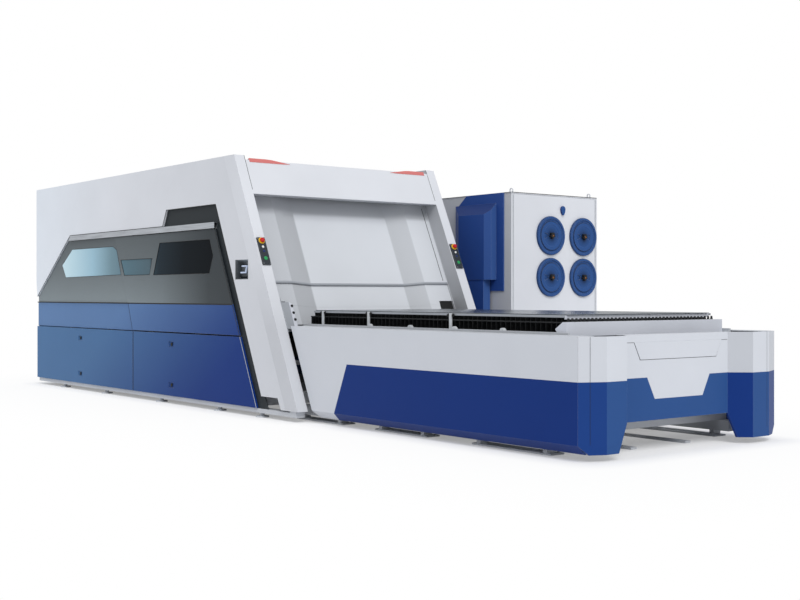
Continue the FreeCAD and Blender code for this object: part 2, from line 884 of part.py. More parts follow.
def build_fixed_leaf():
    outer = "-cabin_half_width + leaf_inset"
    outline = [
        ("panel_rear_x + leaf_edge", "sill_height + door_gap"),
        ("panel_rear_x + leaf_edge", "frame_low_height"),
        (f"{window_slope_x('door_top_height + track_gap / 2')} + leaf_edge", "door_top_height + track_gap / 2"),
        ("door_left_top + door_lap", "door_top_height + track_gap / 2"),
        ("door_left_sill + door_lap", "sill_height + door_gap"),
    ]
    planes = (outer, f"{outer} + leaf_thickness")
    node(side_plate("fixed_leaf", planes, [outline, FIXED_WINDOW]), "fixed_side_leaf")
    node(side_plate("fixed_glass", planes, [FIXED_WINDOW]), "fixed_window")


def build_sliding_door():
    """The leaf hangs on two gliders that run inside the track above it."""
    planes = (NEAR, f"{NEAR} + door_thickness")
    leaf_outline = [
        ("door_left_sill", "sill_height"),
        ("door_left_top", "door_top_height"),
        (leaf_x("door_top_height"), "door_top_height"),
        (leaf_x("sill_height"), "sill_height"),
    ]
    leaf = side_plate("door_leaf", planes, [leaf_outline, SMALL_WINDOW, LARGE_WINDOW])
    hanger_back = "-cabin_half_width + door_thickness / 2 + hanger_thickness / 2"
    hanger_front = f"{hanger_back} - hanger_thickness"
    glider_low = "door_top_height + track_gap + track_wall + glider_clearance"
    cavity_front = "-cabin_half_width + panel_thickness - track_depth + track_wall + glider_clearance"
    cavity_back = "-cabin_half_width + panel_thickness - track_wall - glider_clearance"
    pieces = [leaf]
    for end, centre in (("rear", "door_left_top + 2 * hanger_width"),
                        ("front", f"{leaf_x('door_top_height')} - hanger_width")):
        span = (f"{centre} - hanger_width / 2", f"{centre} + hanger_width / 2")
        pieces.append(box(f"hanger_{end}", span, (hanger_front, hanger_back),
                          ("door_top_height - 30", f"{glider_low} + glider_height / 2")))
        pieces.append(box(f"glider_{end}", span, (cavity_front, cavity_back),
                          (glider_low, f"{glider_low} + glider_height")))
    node(fused("door_leaf_hung", pieces), "sliding_door")

    apron = [
        ("door_left_foot", "band_height + seam / 2"),
        ("door_left_sill", "sill_height"),
        (leaf_x("sill_height"), "sill_height"),
        (leaf_x("band_height + seam / 2"), "band_height + seam / 2"),
    ]
    node(side_plate("door_apron_plate", planes, [apron]), "door_apron")
    glass_planes = (f"{NEAR} + glass_setback", f"{NEAR} + glass_setback + glass_thickness")
    panes = [
        side_plate("small_pane", glass_planes, [SMALL_WINDOW]),
        side_plate("large_pane", glass_planes, [LARGE_WINDOW]),
    ]
    node(together("door_panes", panes), "door_windows")


def build_door_track():
    """A C section with its slot below, cut slanting at the rear end."""
    back = "(-cabin_half_width + panel_thickness)"
    front = f"({back} - track_depth)"
    foot = "(door_top_height + track_gap)"
    top = f"({foot} + track_height)"
    slot_middle = "(-cabin_half_width + door_thickness / 2)"
    slot_front = f"({slot_middle} - track_slot / 2)"
    slot_back = f"({slot_middle} + track_slot / 2)"
    wall = "track_wall"
    section = [
        (front, foot),
        (slot_front, foot),
        (slot_front, f"{foot} + {wall}"),
        (f"{front} + {wall}", f"{foot} + {wall}"),
        (f"{front} + {wall}", f"{top} - {wall}"),
        (f"{back} - {wall}", f"{top} - {wall}"),
        (f"{back} - {wall}", f"{foot} + {wall}"),
        (slot_back, f"{foot} + {wall}"),
        (slot_back, foot),
        (back, foot),
        (back, top),
        (front, top),
    ]
    rail = cross_plate("track_rail", ("track_left", "track_right"), [section])
    slant = side_plate("track_slant", (f"{front} - 1", f"{back} + 1"), [[
        ("track_left - 1", foot),
        ("track_left + track_height", f"{top} + 1"),
        ("track_left - 1", f"{top} + 1"),
    ]])
    node(cut("track_cut", rail, slant), "door_track")


# ---------------------------------------------------------------- front portal and shutter

def leaning_bar(name, y, z, out, behind):
    """A bar that follows the leaning front between two heights and two depths."""
    outline = [
        (front_x(z[0], out), z[0]),
        (front_x(z[1], out), z[1]),
        (front_x(z[1], behind), z[1]),
        (front_x(z[0], behind), z[0]),
    ]
    return side_plate(name, y, [outline])


def light_outline(side):
    """The red lamp lens narrows towards the middle of the lintel."""
    return [
        (f"{side} * light_outer", along_front("light_foot_height")),
        (f"{side} * (light_tip + 95)", along_front("light_foot_height")),
        (f"{side} * light_tip", along_front("light_foot_height + 3")),
        (f"{side} * light_knee", along_front("light_top_height - 4")),
        (f"{side} * (light_knee + 58)", along_front("light_top_height")),
        (f"{side} * light_outer", along_front("light_top_height")),
    ]


def build_portal():
    opening = "opening_half_width"
    foot = "post_foot_height"
    pieces = [leaning_bar("lintel", (f"-{opening}", opening), ("lintel_foot", "lintel_top"), "0", PORTAL_BACK)]
    for side, span in zip(("near", "far"), both_sides(opening, "cabin_half_width")):
        pieces.append(leaning_bar(f"{side}_post", span, (foot, "cabin_height"), "0", PORTAL_BACK))
    guide = f"{opening} - guide_proud"
    for side, span in zip(("near", "far"), both_sides(guide, f"{guide} + guide_width")):
        pieces.append(leaning_bar(f"{side}_guide", span, ("shelf_height", "roof_foot - seam"),
                                  PORTAL_BACK, f"{PORTAL_BACK} + guide_depth"))
    frame = fused("portal_frame", pieces)
    seats = [front_plate(f"{side}_lamp_seat", ("-light_depth", "light_proud + 1"), [light_outline(sign)])
             for side, sign in (("near", -1), ("far", 1))]
    node(cut("portal", frame, fused("lamp_seats", seats)), "front_portal")
    lamps = [front_plate(f"{side}_lamp", ("-light_depth", "light_proud"), [light_outline(sign)])
             for side, sign in (("near", -1), ("far", 1))]
    node(together("lamps", lamps), "status_lights")


def shutter_section(front):
    """Folded sheet: two outer lands, two bevels and a middle field set deeper."""
    half = "(opening_half_width - shutter_gap)"
    deep = f"({front} + shutter_step)"
    sheet_back = f"({front} + shutter_sheet)"
    deep_back = f"({deep} + shutter_sheet)"
    return [
        (f"-{front}", f"-{half}"),
        (f"-{front}", "-shutter_outer"),
        (f"-{deep}", "-shutter_inner"),
        (f"-{deep}", "shutter_inner"),
        (f"-{front}", "shutter_outer"),
        (f"-{front}", half),
        (f"-{sheet_back}", half),
        (f"-{sheet_back}", "shutter_outer"),
        (f"-{deep_back}", "shutter_inner"),
        (f"-{deep_back}", "-shutter_inner"),
        (f"-{sheet_back}", "-shutter_outer"),
        (f"-{sheet_back}", f"-{half}"),
    ]


def build_shutter():
    front = "portal_depth"
    seam = along_front("shutter_seam_height", front)
    top = f"({along_front('lintel_foot', front)} + 2 * shutter_lap)"
    node(front_profile("shutter_top", (seam, top), shutter_section(front)), "shutter_top_panel")

    door_front = f"({front} + shutter_sheet + slide_gap)"
    foot = along_front("shutter_foot_height", f"{door_front} + shutter_step + shutter_sheet")
    door = front_profile("shutter_sheet_low", (foot, f"{seam} + shutter_lap"), shutter_section(door_front))
    half = "opening_half_width"
    notches = []
    for side, span in zip(("near", "far"), both_sides(f"{half} - shutter_notch_width", half)):
        low, high = f"{foot} - 1", f"{foot} + shutter_notch"
        notches.append(front_plate(f"{side}_notch", (f"-{door_front} - shutter_step", f"-{door_front} + 1"),
                                   [rectangle((span[0], low), (span[1], high))]))
    node(cut("shutter_low", door, fused("shutter_notches", notches)), "shutter_door")


def build_entry_guard():
    """Leaning guard beside the pallets: a folded angle bolted behind the operator-side post."""
    heights = ("shelf_height - guard_foot_drop", "bed_height + guard_top_rise")
    back = "guard_setback"
    edge = "-opening_half_width + guard_width"
    web = leaning_bar("guard_web", ("-opening_half_width", edge), heights, f"{back} - guard_sheet", back)
    lip = leaning_bar("guard_lip_bar", (f"{edge} - apron_sheet", edge), heights, f"{back} - guard_lip", back)
    bolts = []
    for count, share in enumerate((0.2, 0.5, 0.8)):
        up = along_front(f"shelf_height + (bed_height - shelf_height) * {share}", back)
        bolts.append(pin_out(f"guard_bolt_{count}", "guard_bolt_radius", f"-{back} + guard_sheet",
                             f"-{back} + 2 * guard_sheet", "-opening_half_width + guard_width / 2", up))
    node(fused("guard", [web, lip] + bolts), "entry_guard")


# ---------------------------------------------------------------- controls on the posts

BUTTONS = {
    "stop": ("stop_drop", "stop_stem_radius"),
    "white": ("white_drop", "button_radius"),
    "blue": ("blue_drop", "button_radius"),
    "green": ("green_drop", "green_radius"),
}
CONTROL_TOP = along_front("control_top_height")


def build_controls():
    plates = []
    for side, sign in (("near", -1), ("far", 1)):
        middle = f"{sign} * control_offset"
        outline = rectangle((f"{middle} - control_width / 2", f"{CONTROL_TOP} - control_length"),
                            (f"{middle} + control_width / 2", CONTROL_TOP))
        holes = [((middle, f"{CONTROL_TOP} - {drop}"), f"{radius} + button_clearance")
                 for drop, radius in BUTTONS.values()]
        plate = front_plate(f"{side}_control_plate", ("0", "control_depth"), [outline], holes)
        collar_up = f"{CONTROL_TOP} - stop_drop"
        collar = pin_out(f"{side}_collar", "collar_radius", "control_depth", "control_depth + collar_height",
                         middle, collar_up)
        bore = pin_out(f"{side}_collar_bore", "stop_stem_radius + button_clearance", "0",
                       "control_depth + collar_height + 1", middle, collar_up)
        plates.append(cut(f"{side}_control_box", fused(f"{side}_control_solid", [plate, collar]), bore))
        for kind, (drop, radius) in BUTTONS.items():
            build_button(side, kind, middle, f"{CONTROL_TOP} - {drop}", radius)
    node(together("control_boxes", plates), "control_plates")


def build_button(side, kind, across, up, radius):
    name = f"{side}_{kind}_button"
    if kind == "stop":
        low = "stop_travel + 1"
        under = "control_depth + collar_height + stop_travel + 1"
        profile = [
            ("0", "0"),
            (radius, "0"),
            (radius, f"{under} - ({low})"),
            ("stop_radius", f"{under} - ({low})"),
            ("stop_radius", f"{under} - ({low}) + stop_head / 2"),
            ("stop_radius * 0.7", f"{under} - ({low}) + stop_head"),
            ("0", f"{under} - ({low}) + stop_head"),
        ]
    else:
        low = "button_travel + 1"
        length = f"control_depth + button_proud - ({low})"
        profile = [("0", "0"), (radius, "0"), (radius, f"{length} - 1.5"), (f"{radius} - 2", length), ("0", length)]
    button = turned(name + "_turned", profile)
    node(place_on_front(button, low, across, up, faces_out=True), name)


def build_display():
    """A bevelled tray set into the cover, with a small tilted display in it."""
    front = NEAR
    back = f"{NEAR} + display_depth"
    tray = box("display_tray", ("display_left", "display_right"), (front, back), ("display_foot", "display_top"))
    mouth = doc.addObject("PartDesign::Body", "display_mouth")
    mouth_sketch = start_sketch(mouth, "display_mouth_outline", "XZ")
    draw_loop(mouth_sketch, rectangle(("display_left + 2 * display_bevel", "display_foot + display_bevel"),
                                      ("display_right - display_bevel", "display_top - display_bevel")))
    pad = mouth.newObject("PartDesign::Pad", "display_mouth_pad")
    pad.Profile = mouth_sketch
    bind(pad, Length="display_depth - display_wall", TaperAngle="atan((display_bevel - 2) / display_depth)")
    place(mouth, y=f"{back} - display_wall")
    hollow = cut("display_tray_hollow", tray, mouth)
    screen = side_plate("display_screen", (f"{back} - display_wall - screen_rise", f"{back} - display_wall"), [[
        ("display_left + 2 * display_bevel", "display_foot + display_bevel"),
        ("display_right - display_bevel", "display_foot + display_bevel"),
        ("display_right - display_bevel", "display_top - 2 * display_bevel"),
        ("display_left + 3 * display_bevel", "display_top - 2 * display_bevel"),
    ]])
    node(fused("display", [hollow, screen]), "side_display")


# ---------------------------------------------------------------- bed, rails and gantry

LEG_PLACES = [f"bed_rear + leg_inset + {count} * leg_pitch" for count in range(5)]
FOOT_PLACES = ["foot_first", "foot_second", "foot_third", "rail_front - foot_fourth", "rail_front - foot_fifth"]


def build_bed():
    """Welded from tubes that meet face to face: rails, cross beams, legs, long beams and pallet shelves."""
    cross_top = "base_rail_top + cross_height"
    beam_foot = "bed_height - bed_beam_height"
    rail_outer = "cabin_half_width - base_rail_inset"
    pieces = []
    for side, span in zip(("near", "far"), both_sides(f"{rail_outer} - base_rail_width", rail_outer)):
        pieces.append(box(f"{side}_base_rail", ("2 * panel_rear_x", "rail_front"), span,
                          ("foot_height", "base_rail_top")))
        pieces.append(box(f"{side}_post_seat", ("rail_front - base_rail_width", "rail_front"), span,
                          ("base_rail_top", "post_foot_height")))
    for side, span in zip(("near", "far"), both_sides("bed_inner", "bed_outer")):
        pieces.append(box(f"{side}_bed_beam", ("bed_rear", "bed_front"), span, (beam_foot, "bed_height")))
        for count, middle in enumerate(LEG_PLACES):
            leg = (f"{middle} - leg_width / 2", f"{middle} + leg_width / 2")
            pieces.append(box(f"{side}_leg_{count}", leg, span, (cross_top, beam_foot)))
    for count, middle in enumerate(["first_cross_x"] + LEG_PLACES):
        pieces.append(box(f"cross_beam_{count}", (f"{middle} - leg_width / 2", f"{middle} + leg_width / 2"),
                          ("-cabin_half_width + cross_gap", "cabin_half_width - cross_gap"),
                          ("base_rail_top", cross_top)))
    shelf = ("pallet_start - pallet_travel - shelf_overrun", "frame_front - pallet_gap")
    for level, drop in (("upper", "0"), ("lower", "level_drop")):
        top = f"shelf_height - {drop}"
        for side, span in zip(("near", "far"), both_sides("shelf_inner", "bed_inner")):
            pieces.append(box(f"{side}_{level}_shelf", shelf, span, (f"{top} - shelf_thickness", top)))
    node(together("bed", pieces), "machine_bed")

    length = ("bed_rear + 2 * rail_end_gap", "bed_front - rail_end_gap")
    height = ("bed_height", "bed_height + rail_height")
    middle = "(bed_inner + bed_outer) / 2"
    rails = [box(f"{side}_x_rail", length, span, height)
             for side, span in zip(("near", "far"), both_sides(f"{middle} - rail_width / 2",
                                                               f"{middle} + rail_width / 2"))]
    rails += [box(f"{side}_x_rack", length, span, height)
              for side, span in zip(("near", "far"), both_sides("bed_outer - rack_edge - rack_width",
                                                                "bed_outer - rack_edge"))]
    node(together("x_rails", rails), "guide_rails")


def build_gantry():
    back = "gantry_front - beam_width"
    top = "beam_foot_height + beam_height"
    pieces = [box("gantry_girder", (back, "gantry_front"), ("-beam_half_length", "beam_half_length"),
                  ("beam_foot_height", top))]
    middle = "gantry_front - beam_width / 2"
    truck = (f"{middle} - truck_length / 2", f"{middle} + truck_length / 2")
    truck_foot = "bed_height + rail_height + slide_gap"
    trucks = both_sides("bed_inner + rail_width / 2", "bed_outer - rack_width - rack_edge")
    for side, span in zip(("near", "far"), trucks):
        pieces.append(box(f"{side}_truck", truck, span, (truck_foot, "beam_foot_height")))
        pieces.append(box(f"{side}_drive", (f"{back} - beam_drive", back), span,
                          ("beam_foot_height", f"{top} - 2 * beam_rail")))
    for level, height in (("lower", "beam_foot_height + beam_rail"), ("upper", f"{top} - 2 * beam_rail")):
        pieces.append(box(f"{level}_beam_rail", ("gantry_front", "gantry_front + beam_rail_proud"),
                          ("-beam_half_length + rail_end_gap", "beam_half_length - rail_end_gap"),
                          (height, f"{height} + beam_rail")))
    node(fused("gantry", pieces), "gantry_beam")

    plate_back = "gantry_front + beam_rail_proud + slide_gap"
    plate_front = f"{plate_back} + carriage_plate"
    carriage_foot = "beam_foot_height + beam_rail / 2"
    motor_width = ("-carriage_motor / 2", "carriage_motor / 2")
    plate = box("carriage_plate_block", (plate_back, plate_front), ("-carriage_width / 2", "carriage_width / 2"),
                (carriage_foot, f"{carriage_foot} + carriage_height"))
    stem = box("carriage_motor_stem", (plate_back, plate_front), motor_width,
               (f"{carriage_foot} + carriage_height - beam_rail", f"{top} + beam_rail"))
    motor = box("carriage_motor_case", (f"{plate_back} - carriage_motor / 2", plate_front), motor_width,
                (f"{top} + beam_rail / 2", f"{top} + beam_rail / 2 + carriage_motor"))
    node(fused("carriage", [plate, motor, stem]), "head_carriage")

    head_axis = "gantry_front + head_offset"
    shoulder = "nozzle_neck_radius + head_radius + nozzle_radius - 2"
    barrel = turned("head_barrel", [
        ("0", "0"),
        ("nozzle_radius / 3", "0"),
        ("nozzle_radius", "nozzle_radius * 1.7"),
        ("nozzle_neck_radius", f"{shoulder} - nozzle_neck_radius"),
        ("head_radius", shoulder),
        ("head_radius", "head_length * 0.75"),
        ("head_radius * 0.76", "head_length * 0.82"),
        ("head_radius * 0.76", "head_length"),
        ("0", "head_length"),
    ])
    place(barrel, head_axis, "0", "head_tip_height")
    slide = box("head_slide", (f"{plate_front} + slide_gap", f"{head_axis} - head_radius / 2"),
                ("-head_slide_width / 2", "head_slide_width / 2"),
                ("head_tip_height + head_slide_width", "head_tip_height + head_length + beam_rail"))
    node(fused("head", [barrel, slide]), "cutting_head")


def hexagon(x, y, radius):
    """Outline of a nut round a point, as wide as `radius` from the middle to a corner."""
    corners = [(1, 0), (0.5, 0.8660254), (-0.5, 0.8660254), (-1, 0), (-0.5, -0.8660254), (0.5, -0.8660254)]
    return [(f"({x}) + {across} * {radius}", f"({y}) + {along} * {radius}") for across, along in corners]


def build_feet_and_plates():
    """Levelling feet under the cabin, and the flat floor plates and bars under the table."""
    pieces = []
    for side, sign in (("near", -1), ("far", 1)):
        y = f"{sign} * (cabin_half_width - foot_inset)"
        for count, x in enumerate(FOOT_PLACES):
            pad = rod(f"{side}_foot_{count}_pad", x, y, "0", "foot_radius", "foot_pad")
            nut = flat_plate(f"{side}_foot_{count}_nut", ("foot_pad - 1", "foot_height"),
                             [hexagon(x, y, "foot_nut_radius")])
            pieces.append(fused(f"{side}_foot_{count}", [pad, nut]))
        span = both_sides("plate_inner", "plate_inner + plate_width")[0 if sign < 0 else 1]
        for count, (start, end) in enumerate(PLATE_SPANS):
            plate = box(f"{side}_floor_plate_{count}", (start, end), span, ("0", "floor_plate"))
            if count == len(PLATE_SPANS) - 1:
                last = f"{end} - anchor_end"
                anchors = [rod(f"{side}_anchor_{turn}", x, f"{sign} * anchor_offset", "-1", "anchor_radius",
                               "floor_plate + 2") for turn, x in enumerate((f"{last} - anchor_spacing", last))]
                plate = cut(f"{side}_anchored_plate", plate, fused(f"{side}_anchors", anchors))
            pieces.append(plate)
    for name, middle in (("near_floor_bar", "-floor_bar_near"), ("far_floor_bar", "floor_bar_far")):
        end = "frame_rear + floor_bar_overrun"
        pieces.append(box(name, (f"{end} - floor_bar_length", end),
                          (f"{middle} - floor_bar_width / 2", f"{middle} + floor_bar_width / 2"),
                          ("0", "floor_bar_height")))
    node(together("feet", pieces), "levelling_feet")


def build_laser_source():
    foot = "base_rail_top + cross_height"
    top = f"{foot} + source_height"
    front = "source_rear + source_depth"
    wall = "panel_thickness"
    cabinet = box("source_cabinet", ("source_rear", front), ("-source_half_width", "source_half_width"), (foot, top))
    inside = box("source_inside", (f"source_rear + {wall}", f"{front} - {wall}"),
                 (f"-source_half_width + {wall}", f"source_half_width - {wall}"),
                 (f"{foot} + {wall}", f"{top} - {wall}"))
    groove = box("source_door_groove", (f"{front} - seam", f"{front} + 1"), ("-source_groove / 2", "source_groove / 2"),
                 (f"{foot} + 2 * {wall}", f"{top} - 2 * {wall}"))
    gland = rod("source_gland", "source_rear + source_depth / 2", "source_half_width * 0.6", top, "gland_radius",
                "gland_height")
    shell = cut("source_shell", cabinet, fused("source_cuts", [inside, groove]))
    node(fused("source", [shell, gland]), "laser_source")


# ---------------------------------------------------------------- exchange table

def skirt_lean_x(height):
    """Inclined rear edge of the table covers, parallel to the leaning front."""
    return f"(cover_left_top + (table_height - ({height})) * tan(front_lean))"


def colour_x(height):
    """Slanting line between the white and the blue part of a side cover."""
    slope = "(colour_top_x - colour_foot_x) / (colour_height - fold_height)"
    return f"(colour_top_x - (colour_height - ({height})) * {slope})"


SIDE_END = "(table_end - tower_chamfer)"
MAIN_FACE = "(table_end - tower_depth)"


def side_cover_section(sign):
    """Folded side: top flange, upright wall and a foot that folds inward."""
    outer = f"{sign} * table_half_width"
    inner = f"{sign} * (table_half_width - cover_sheet)"
    foot = f"{sign} * (table_half_width - fold_inset)"
    foot_inner = f"{sign} * (table_half_width - fold_inset - cover_sheet)"
    flange = f"{sign} * (table_half_width - flange_width)"
    return [
        (outer, "table_height"),
        (outer, "fold_height"),
        (foot, "cover_foot_height"),
        (foot_inner, "cover_foot_height"),
        (inner, "fold_height + cover_sheet / 3"),
        (inner, "table_height - flange_sheet"),
        (flange, "table_height - flange_sheet"),
        (flange, "table_height"),
    ]


def blue_zone(name, span):
    """The space below the colour line of one side cover."""
    return side_plate(name, span, [[
        (f"{SIDE_END} + 1", "0"),
        (f"{SIDE_END} + 1", "colour_height"),
        ("colour_top_x", "colour_height"),
        (colour_x("0"), "0"),
    ]])


def build_side_covers():
    """White upper and blue lower part of each folded side. Returns the blue parts."""
    whites = []
    blues = []
    length = ("cover_left_top", SIDE_END)
    for side, sign in (("near", -1), ("far", 1)):
        span = both_sides("table_half_width - flange_width - 1", "table_half_width + 1")[0 if sign < 0 else 1]
        whole = cross_plate(f"{side}_cover_whole", length, [side_cover_section(sign)])
        lean_off = side_plate(f"{side}_lean_off", span, [[
            (skirt_lean_x("table_height + seam"), "table_height + seam"),
            (skirt_lean_x("0"), "0"),
            ("cover_left_top - seam", "0"),
            ("cover_left_top - seam", "table_height + seam"),
        ]])
        leaning = cut(f"{side}_cover_leaning", whole, lean_off)
        whites.append(cut(f"{side}_cover_white", leaning, blue_zone(f"{side}_blue_off", span)))
        skirt = doc.addObject("Part::MultiCommon", f"{side}_skirt")
        skirt.Shapes = [cross_plate(f"{side}_skirt_whole", length, [side_cover_section(sign)]),
                        blue_zone(f"{side}_blue_keep", span)]
        blues.append(skirt)
    node(together("side_covers", whites), "table_side_covers")
    return blues


def end_ring():
    """Plan of the end cover wall: two towers with the main face set back between them."""
    outer = [
        (SIDE_END, "table_half_width"),
        ("table_end", "tower_outer"),
        ("table_end", "tower_inner"),
        (MAIN_FACE, "tower_root"),
    ]
    inner = [
        (SIDE_END, "(table_half_width - cover_sheet)"),
        ("table_end - cover_sheet", "(tower_outer - cover_sheet * 0.4)"),
        ("table_end - cover_sheet", "(tower_inner + cover_sheet * 0.6)"),
        (f"{MAIN_FACE} - cover_sheet", "(tower_root + cover_sheet * 0.6)"),
    ]
    other_side = [[(x, f"-{y}") for x, y in points] for points in (outer, inner)]
    return other_side[0] + outer[::-1] + inner + other_side[1][::-1]


def build_end_cover(side_skirts):
    beyond = (f"{MAIN_FACE} - fold_inset", "table_end + 1")
    outside = "(table_half_width + 1)"
    white_wall = flat_plate("end_white_wall", ("dip_height", "table_height"), [end_ring()])
    below_white = []
    for side, sign in (("near", -1), ("far", 1)):
        below_white.append(cross_plate(f"{side}_below_white", beyond, [[
            (f"{sign} * {outside}", "dip_height - 1"),
            (f"{sign} * dip_half_foot", "dip_height - 1"),
            (f"{sign} * dip_half_foot", "dip_height"),
            (f"{sign} * dip_half_top", "colour_height"),
            (f"{sign} * {outside}", "colour_height"),
        ]]))
    white = cut("end_white_trimmed", white_wall, fused("below_white", below_white))
    flange = flat_plate("end_flange", ("table_height - flange_sheet", "table_height"), [[
        (f"{MAIN_FACE} - fold_inset", "-tower_root - 3 * cover_sheet"),
        (f"{MAIN_FACE} - cover_sheet / 2", "-tower_root - cover_sheet"),
        (f"{MAIN_FACE} - cover_sheet / 2", "tower_root + cover_sheet"),
        (f"{MAIN_FACE} - fold_inset", "tower_root + 3 * cover_sheet"),
    ]])
    field_top = "table_height - field_drop"
    field = cross_plate("end_field", (MAIN_FACE, f"{MAIN_FACE} + field_proud"), [[
        ("-field_half_width + field_slant", f"{field_top} - field_height"),
        ("field_half_width - field_slant", f"{field_top} - field_height"),
        ("field_half_width", field_top),
        ("-field_half_width", field_top),
    ]])
    node(fused("end_white", [white, flange, field]), "end_cover")

    blue_wall = flat_plate("end_blue_wall", ("cover_foot_height", "colour_height"), [end_ring()])
    arch = cross_plate("end_arch", beyond, [[
        ("-tower_inner - arch_spread", "cover_foot_height - 1"),
        ("-tower_inner", "arch_height + arch_rise"),
        ("-tower_root", "arch_height"),
        ("tower_root", "arch_height"),
        ("tower_root + arch_spread * 0.7", "cover_foot_height - 1"),
    ]])
    dip = cross_plate("end_dip", beyond, [[
        ("-dip_half_foot", "dip_height"),
        ("dip_half_foot", "dip_height"),
        ("dip_half_top", "colour_height"),
        ("dip_half_top", "colour_height + 1"),
        ("-dip_half_top", "colour_height + 1"),
        ("-dip_half_top", "colour_height"),
    ]])
    corners = []
    for side, sign in (("near", -1), ("far", 1)):
        corners.append(cross_plate(f"{side}_foot_fold", beyond, [[
            (f"{sign} * {outside}", "cover_foot_height - 1"),
            (f"{sign} * {outside}", "fold_height"),
            (f"{sign} * table_half_width", "fold_height"),
            (f"{sign} * (table_half_width - fold_inset)", "cover_foot_height"),
            (f"{sign} * (table_half_width - fold_inset)", "cover_foot_height - 1"),
        ]]))
    skirt = cut("end_skirt", blue_wall, fused("end_cuts", [arch, dip] + corners))
    node(together("skirts", side_skirts + [skirt]), "table_skirts")


SHAFT_X = "(frame_rear - shaft_inset)"
SHAFT_Z = "(shelf_height - shaft_drop)"
STATIONS = [f"frame_front + station_start + station_pitch * {count}" for count in range(3)]
STATIONS.append("frame_rear - station_end")
PLATE_SPANS = [
    (f"{STATIONS[0]} - 1.8 * plate_width", f"{STATIONS[0]} + 3.4 * plate_width"),
    (f"{STATIONS[1]} - plate_width / 2", f"{STATIONS[1]} + 4.4 * plate_width"),
    (f"{STATIONS[2]} + plate_width", f"{STATIONS[3]} + 0.2 * plate_width"),
]


def build_table_frame():
    """Welded from tubes and plates that meet face to face."""
    pieces = []
    half = "table_beam_width / 2"
    beam_inner = "(lip_outer - table_beam_inner_lap)"
    beam_span = (beam_inner, f"{beam_inner} + table_beam_width")
    beam_foot = "(floor_plate + table_beam_lift)"
    beam_top = f"{beam_foot} + table_beam_height"
    shelf_foot = "shelf_height - shelf_thickness"
    for side, span in zip(("near", "far"), both_sides(*beam_span)):
        pieces.append(box(f"{side}_table_beam", ("frame_front", "frame_rear"), span, (beam_foot, beam_top)))
        for count, (start, end) in enumerate(PLATE_SPANS):
            studs = ((f"{start} + table_stud", f"{start} + 2 * table_stud"),
                     (f"{end} - 2 * table_stud", f"{end} - table_stud"))
            for turn, stud in enumerate(studs):
                pieces.append(box(f"{side}_stud_{count}_{turn}", stud, span, ("floor_plate", beam_foot)))
        for count, middle in enumerate(STATIONS):
            pieces.append(box(f"{side}_upright_{count}", (f"{middle} - {half}", f"{middle} + {half}"), span,
                              (beam_top, shelf_foot)))
    for count, middle in enumerate(STATIONS):
        pieces.append(box(f"table_cross_{count}", (f"{middle} - {half}", f"{middle} + {half}"),
                          (f"-{beam_inner}", beam_inner), (beam_top, f"{beam_top} + table_cross_height")))
    for side, span in zip(("near", "far"), both_sides("shelf_inner", "lip_outer")):
        pieces.append(box(f"{side}_upper_shelf_bar", ("frame_front", "frame_rear"), span,
                          (shelf_foot, "shelf_height")))
    for side, span in zip(("near", "far"), both_sides("shelf_inner", beam_inner)):
        pieces.append(box(f"{side}_lower_shelf_bar", ("frame_front", "frame_rear"), span,
                          (f"{shelf_foot} - level_drop", "shelf_height - level_drop")))
    for side, span in zip(("near", "far"), both_sides("lip_outer - lip_sheet", "lip_outer")):
        pieces.append(box(f"{side}_lip", ("frame_front", "frame_rear"), span, ("shelf_height", "lip_height")))
    for side, span in zip(("near", "far"), both_sides("lip_outer", "table_half_width - cover_sheet")):
        for count, middle in enumerate(STATIONS):
            pieces.append(box(f"{side}_outrigger_{count}",
                              (f"{middle} - outrigger_width / 2", f"{middle} + outrigger_width / 2"), span,
                              (shelf_foot, "shelf_height - outrigger_step")))
    pieces += end_support(f"{beam_top} + table_cross_height")
    bearings = []
    for side, span in zip(("near", "far"), both_sides("shelf_inner", beam_inner)):
        plate = box(f"{side}_bearing_plate", (f"{SHAFT_X} - bearing_width / 2", f"{SHAFT_X} + bearing_width / 2"),
                    span, (f"{SHAFT_Z} - bearing_drop", shelf_foot))
        bore = across_rod(f"{side}_bearing_bore", SHAFT_X, (f"{span[0]} - 1", f"{span[1]} + 1"), SHAFT_Z,
                          "shaft_radius + bearing_clearance")
        bearings.append(cut(f"{side}_bearing", plate, bore))
    node(together("table", pieces + bearings), "table_frame")


def end_support(foot):
    """Beam behind the end cover, on arms and uprights from the last cross beam, with a slanting brace each."""
    cover_back = f"{MAIN_FACE} - cover_sheet"
    beam_front = f"{cover_back} - end_beam_depth"
    low = "arch_height + end_beam_rise"
    height = (low, f"{low} + end_beam_height")
    outer = "tower_root - end_beam_gap"
    inner = f"{outer} - end_beam_height"
    rear = f"{STATIONS[3]} - table_beam_width / 2"
    front = f"{STATIONS[3]} + table_beam_width / 2"
    pieces = [box("end_beam", (beam_front, cover_back), (f"-({outer})", outer), height)]
    for side, span in zip(("near", "far"), both_sides(inner, outer)):
        pieces.append(box(f"{side}_end_upright", (rear, front), span, (foot, height[1])))
        pieces.append(box(f"{side}_end_arm", (front, beam_front), span, height))
    for side, span in zip(("near", "far"), both_sides(f"{inner} + brace_width", f"{inner} + 2 * brace_width")):
        pieces.append(side_plate(f"{side}_end_brace", span, [[
            (front, foot),
            (f"{front} + brace_width", foot),
            (f"{beam_front} - brace_width", low),
            (f"{beam_front} - 4 * brace_width", low),
        ]]))
    return pieces


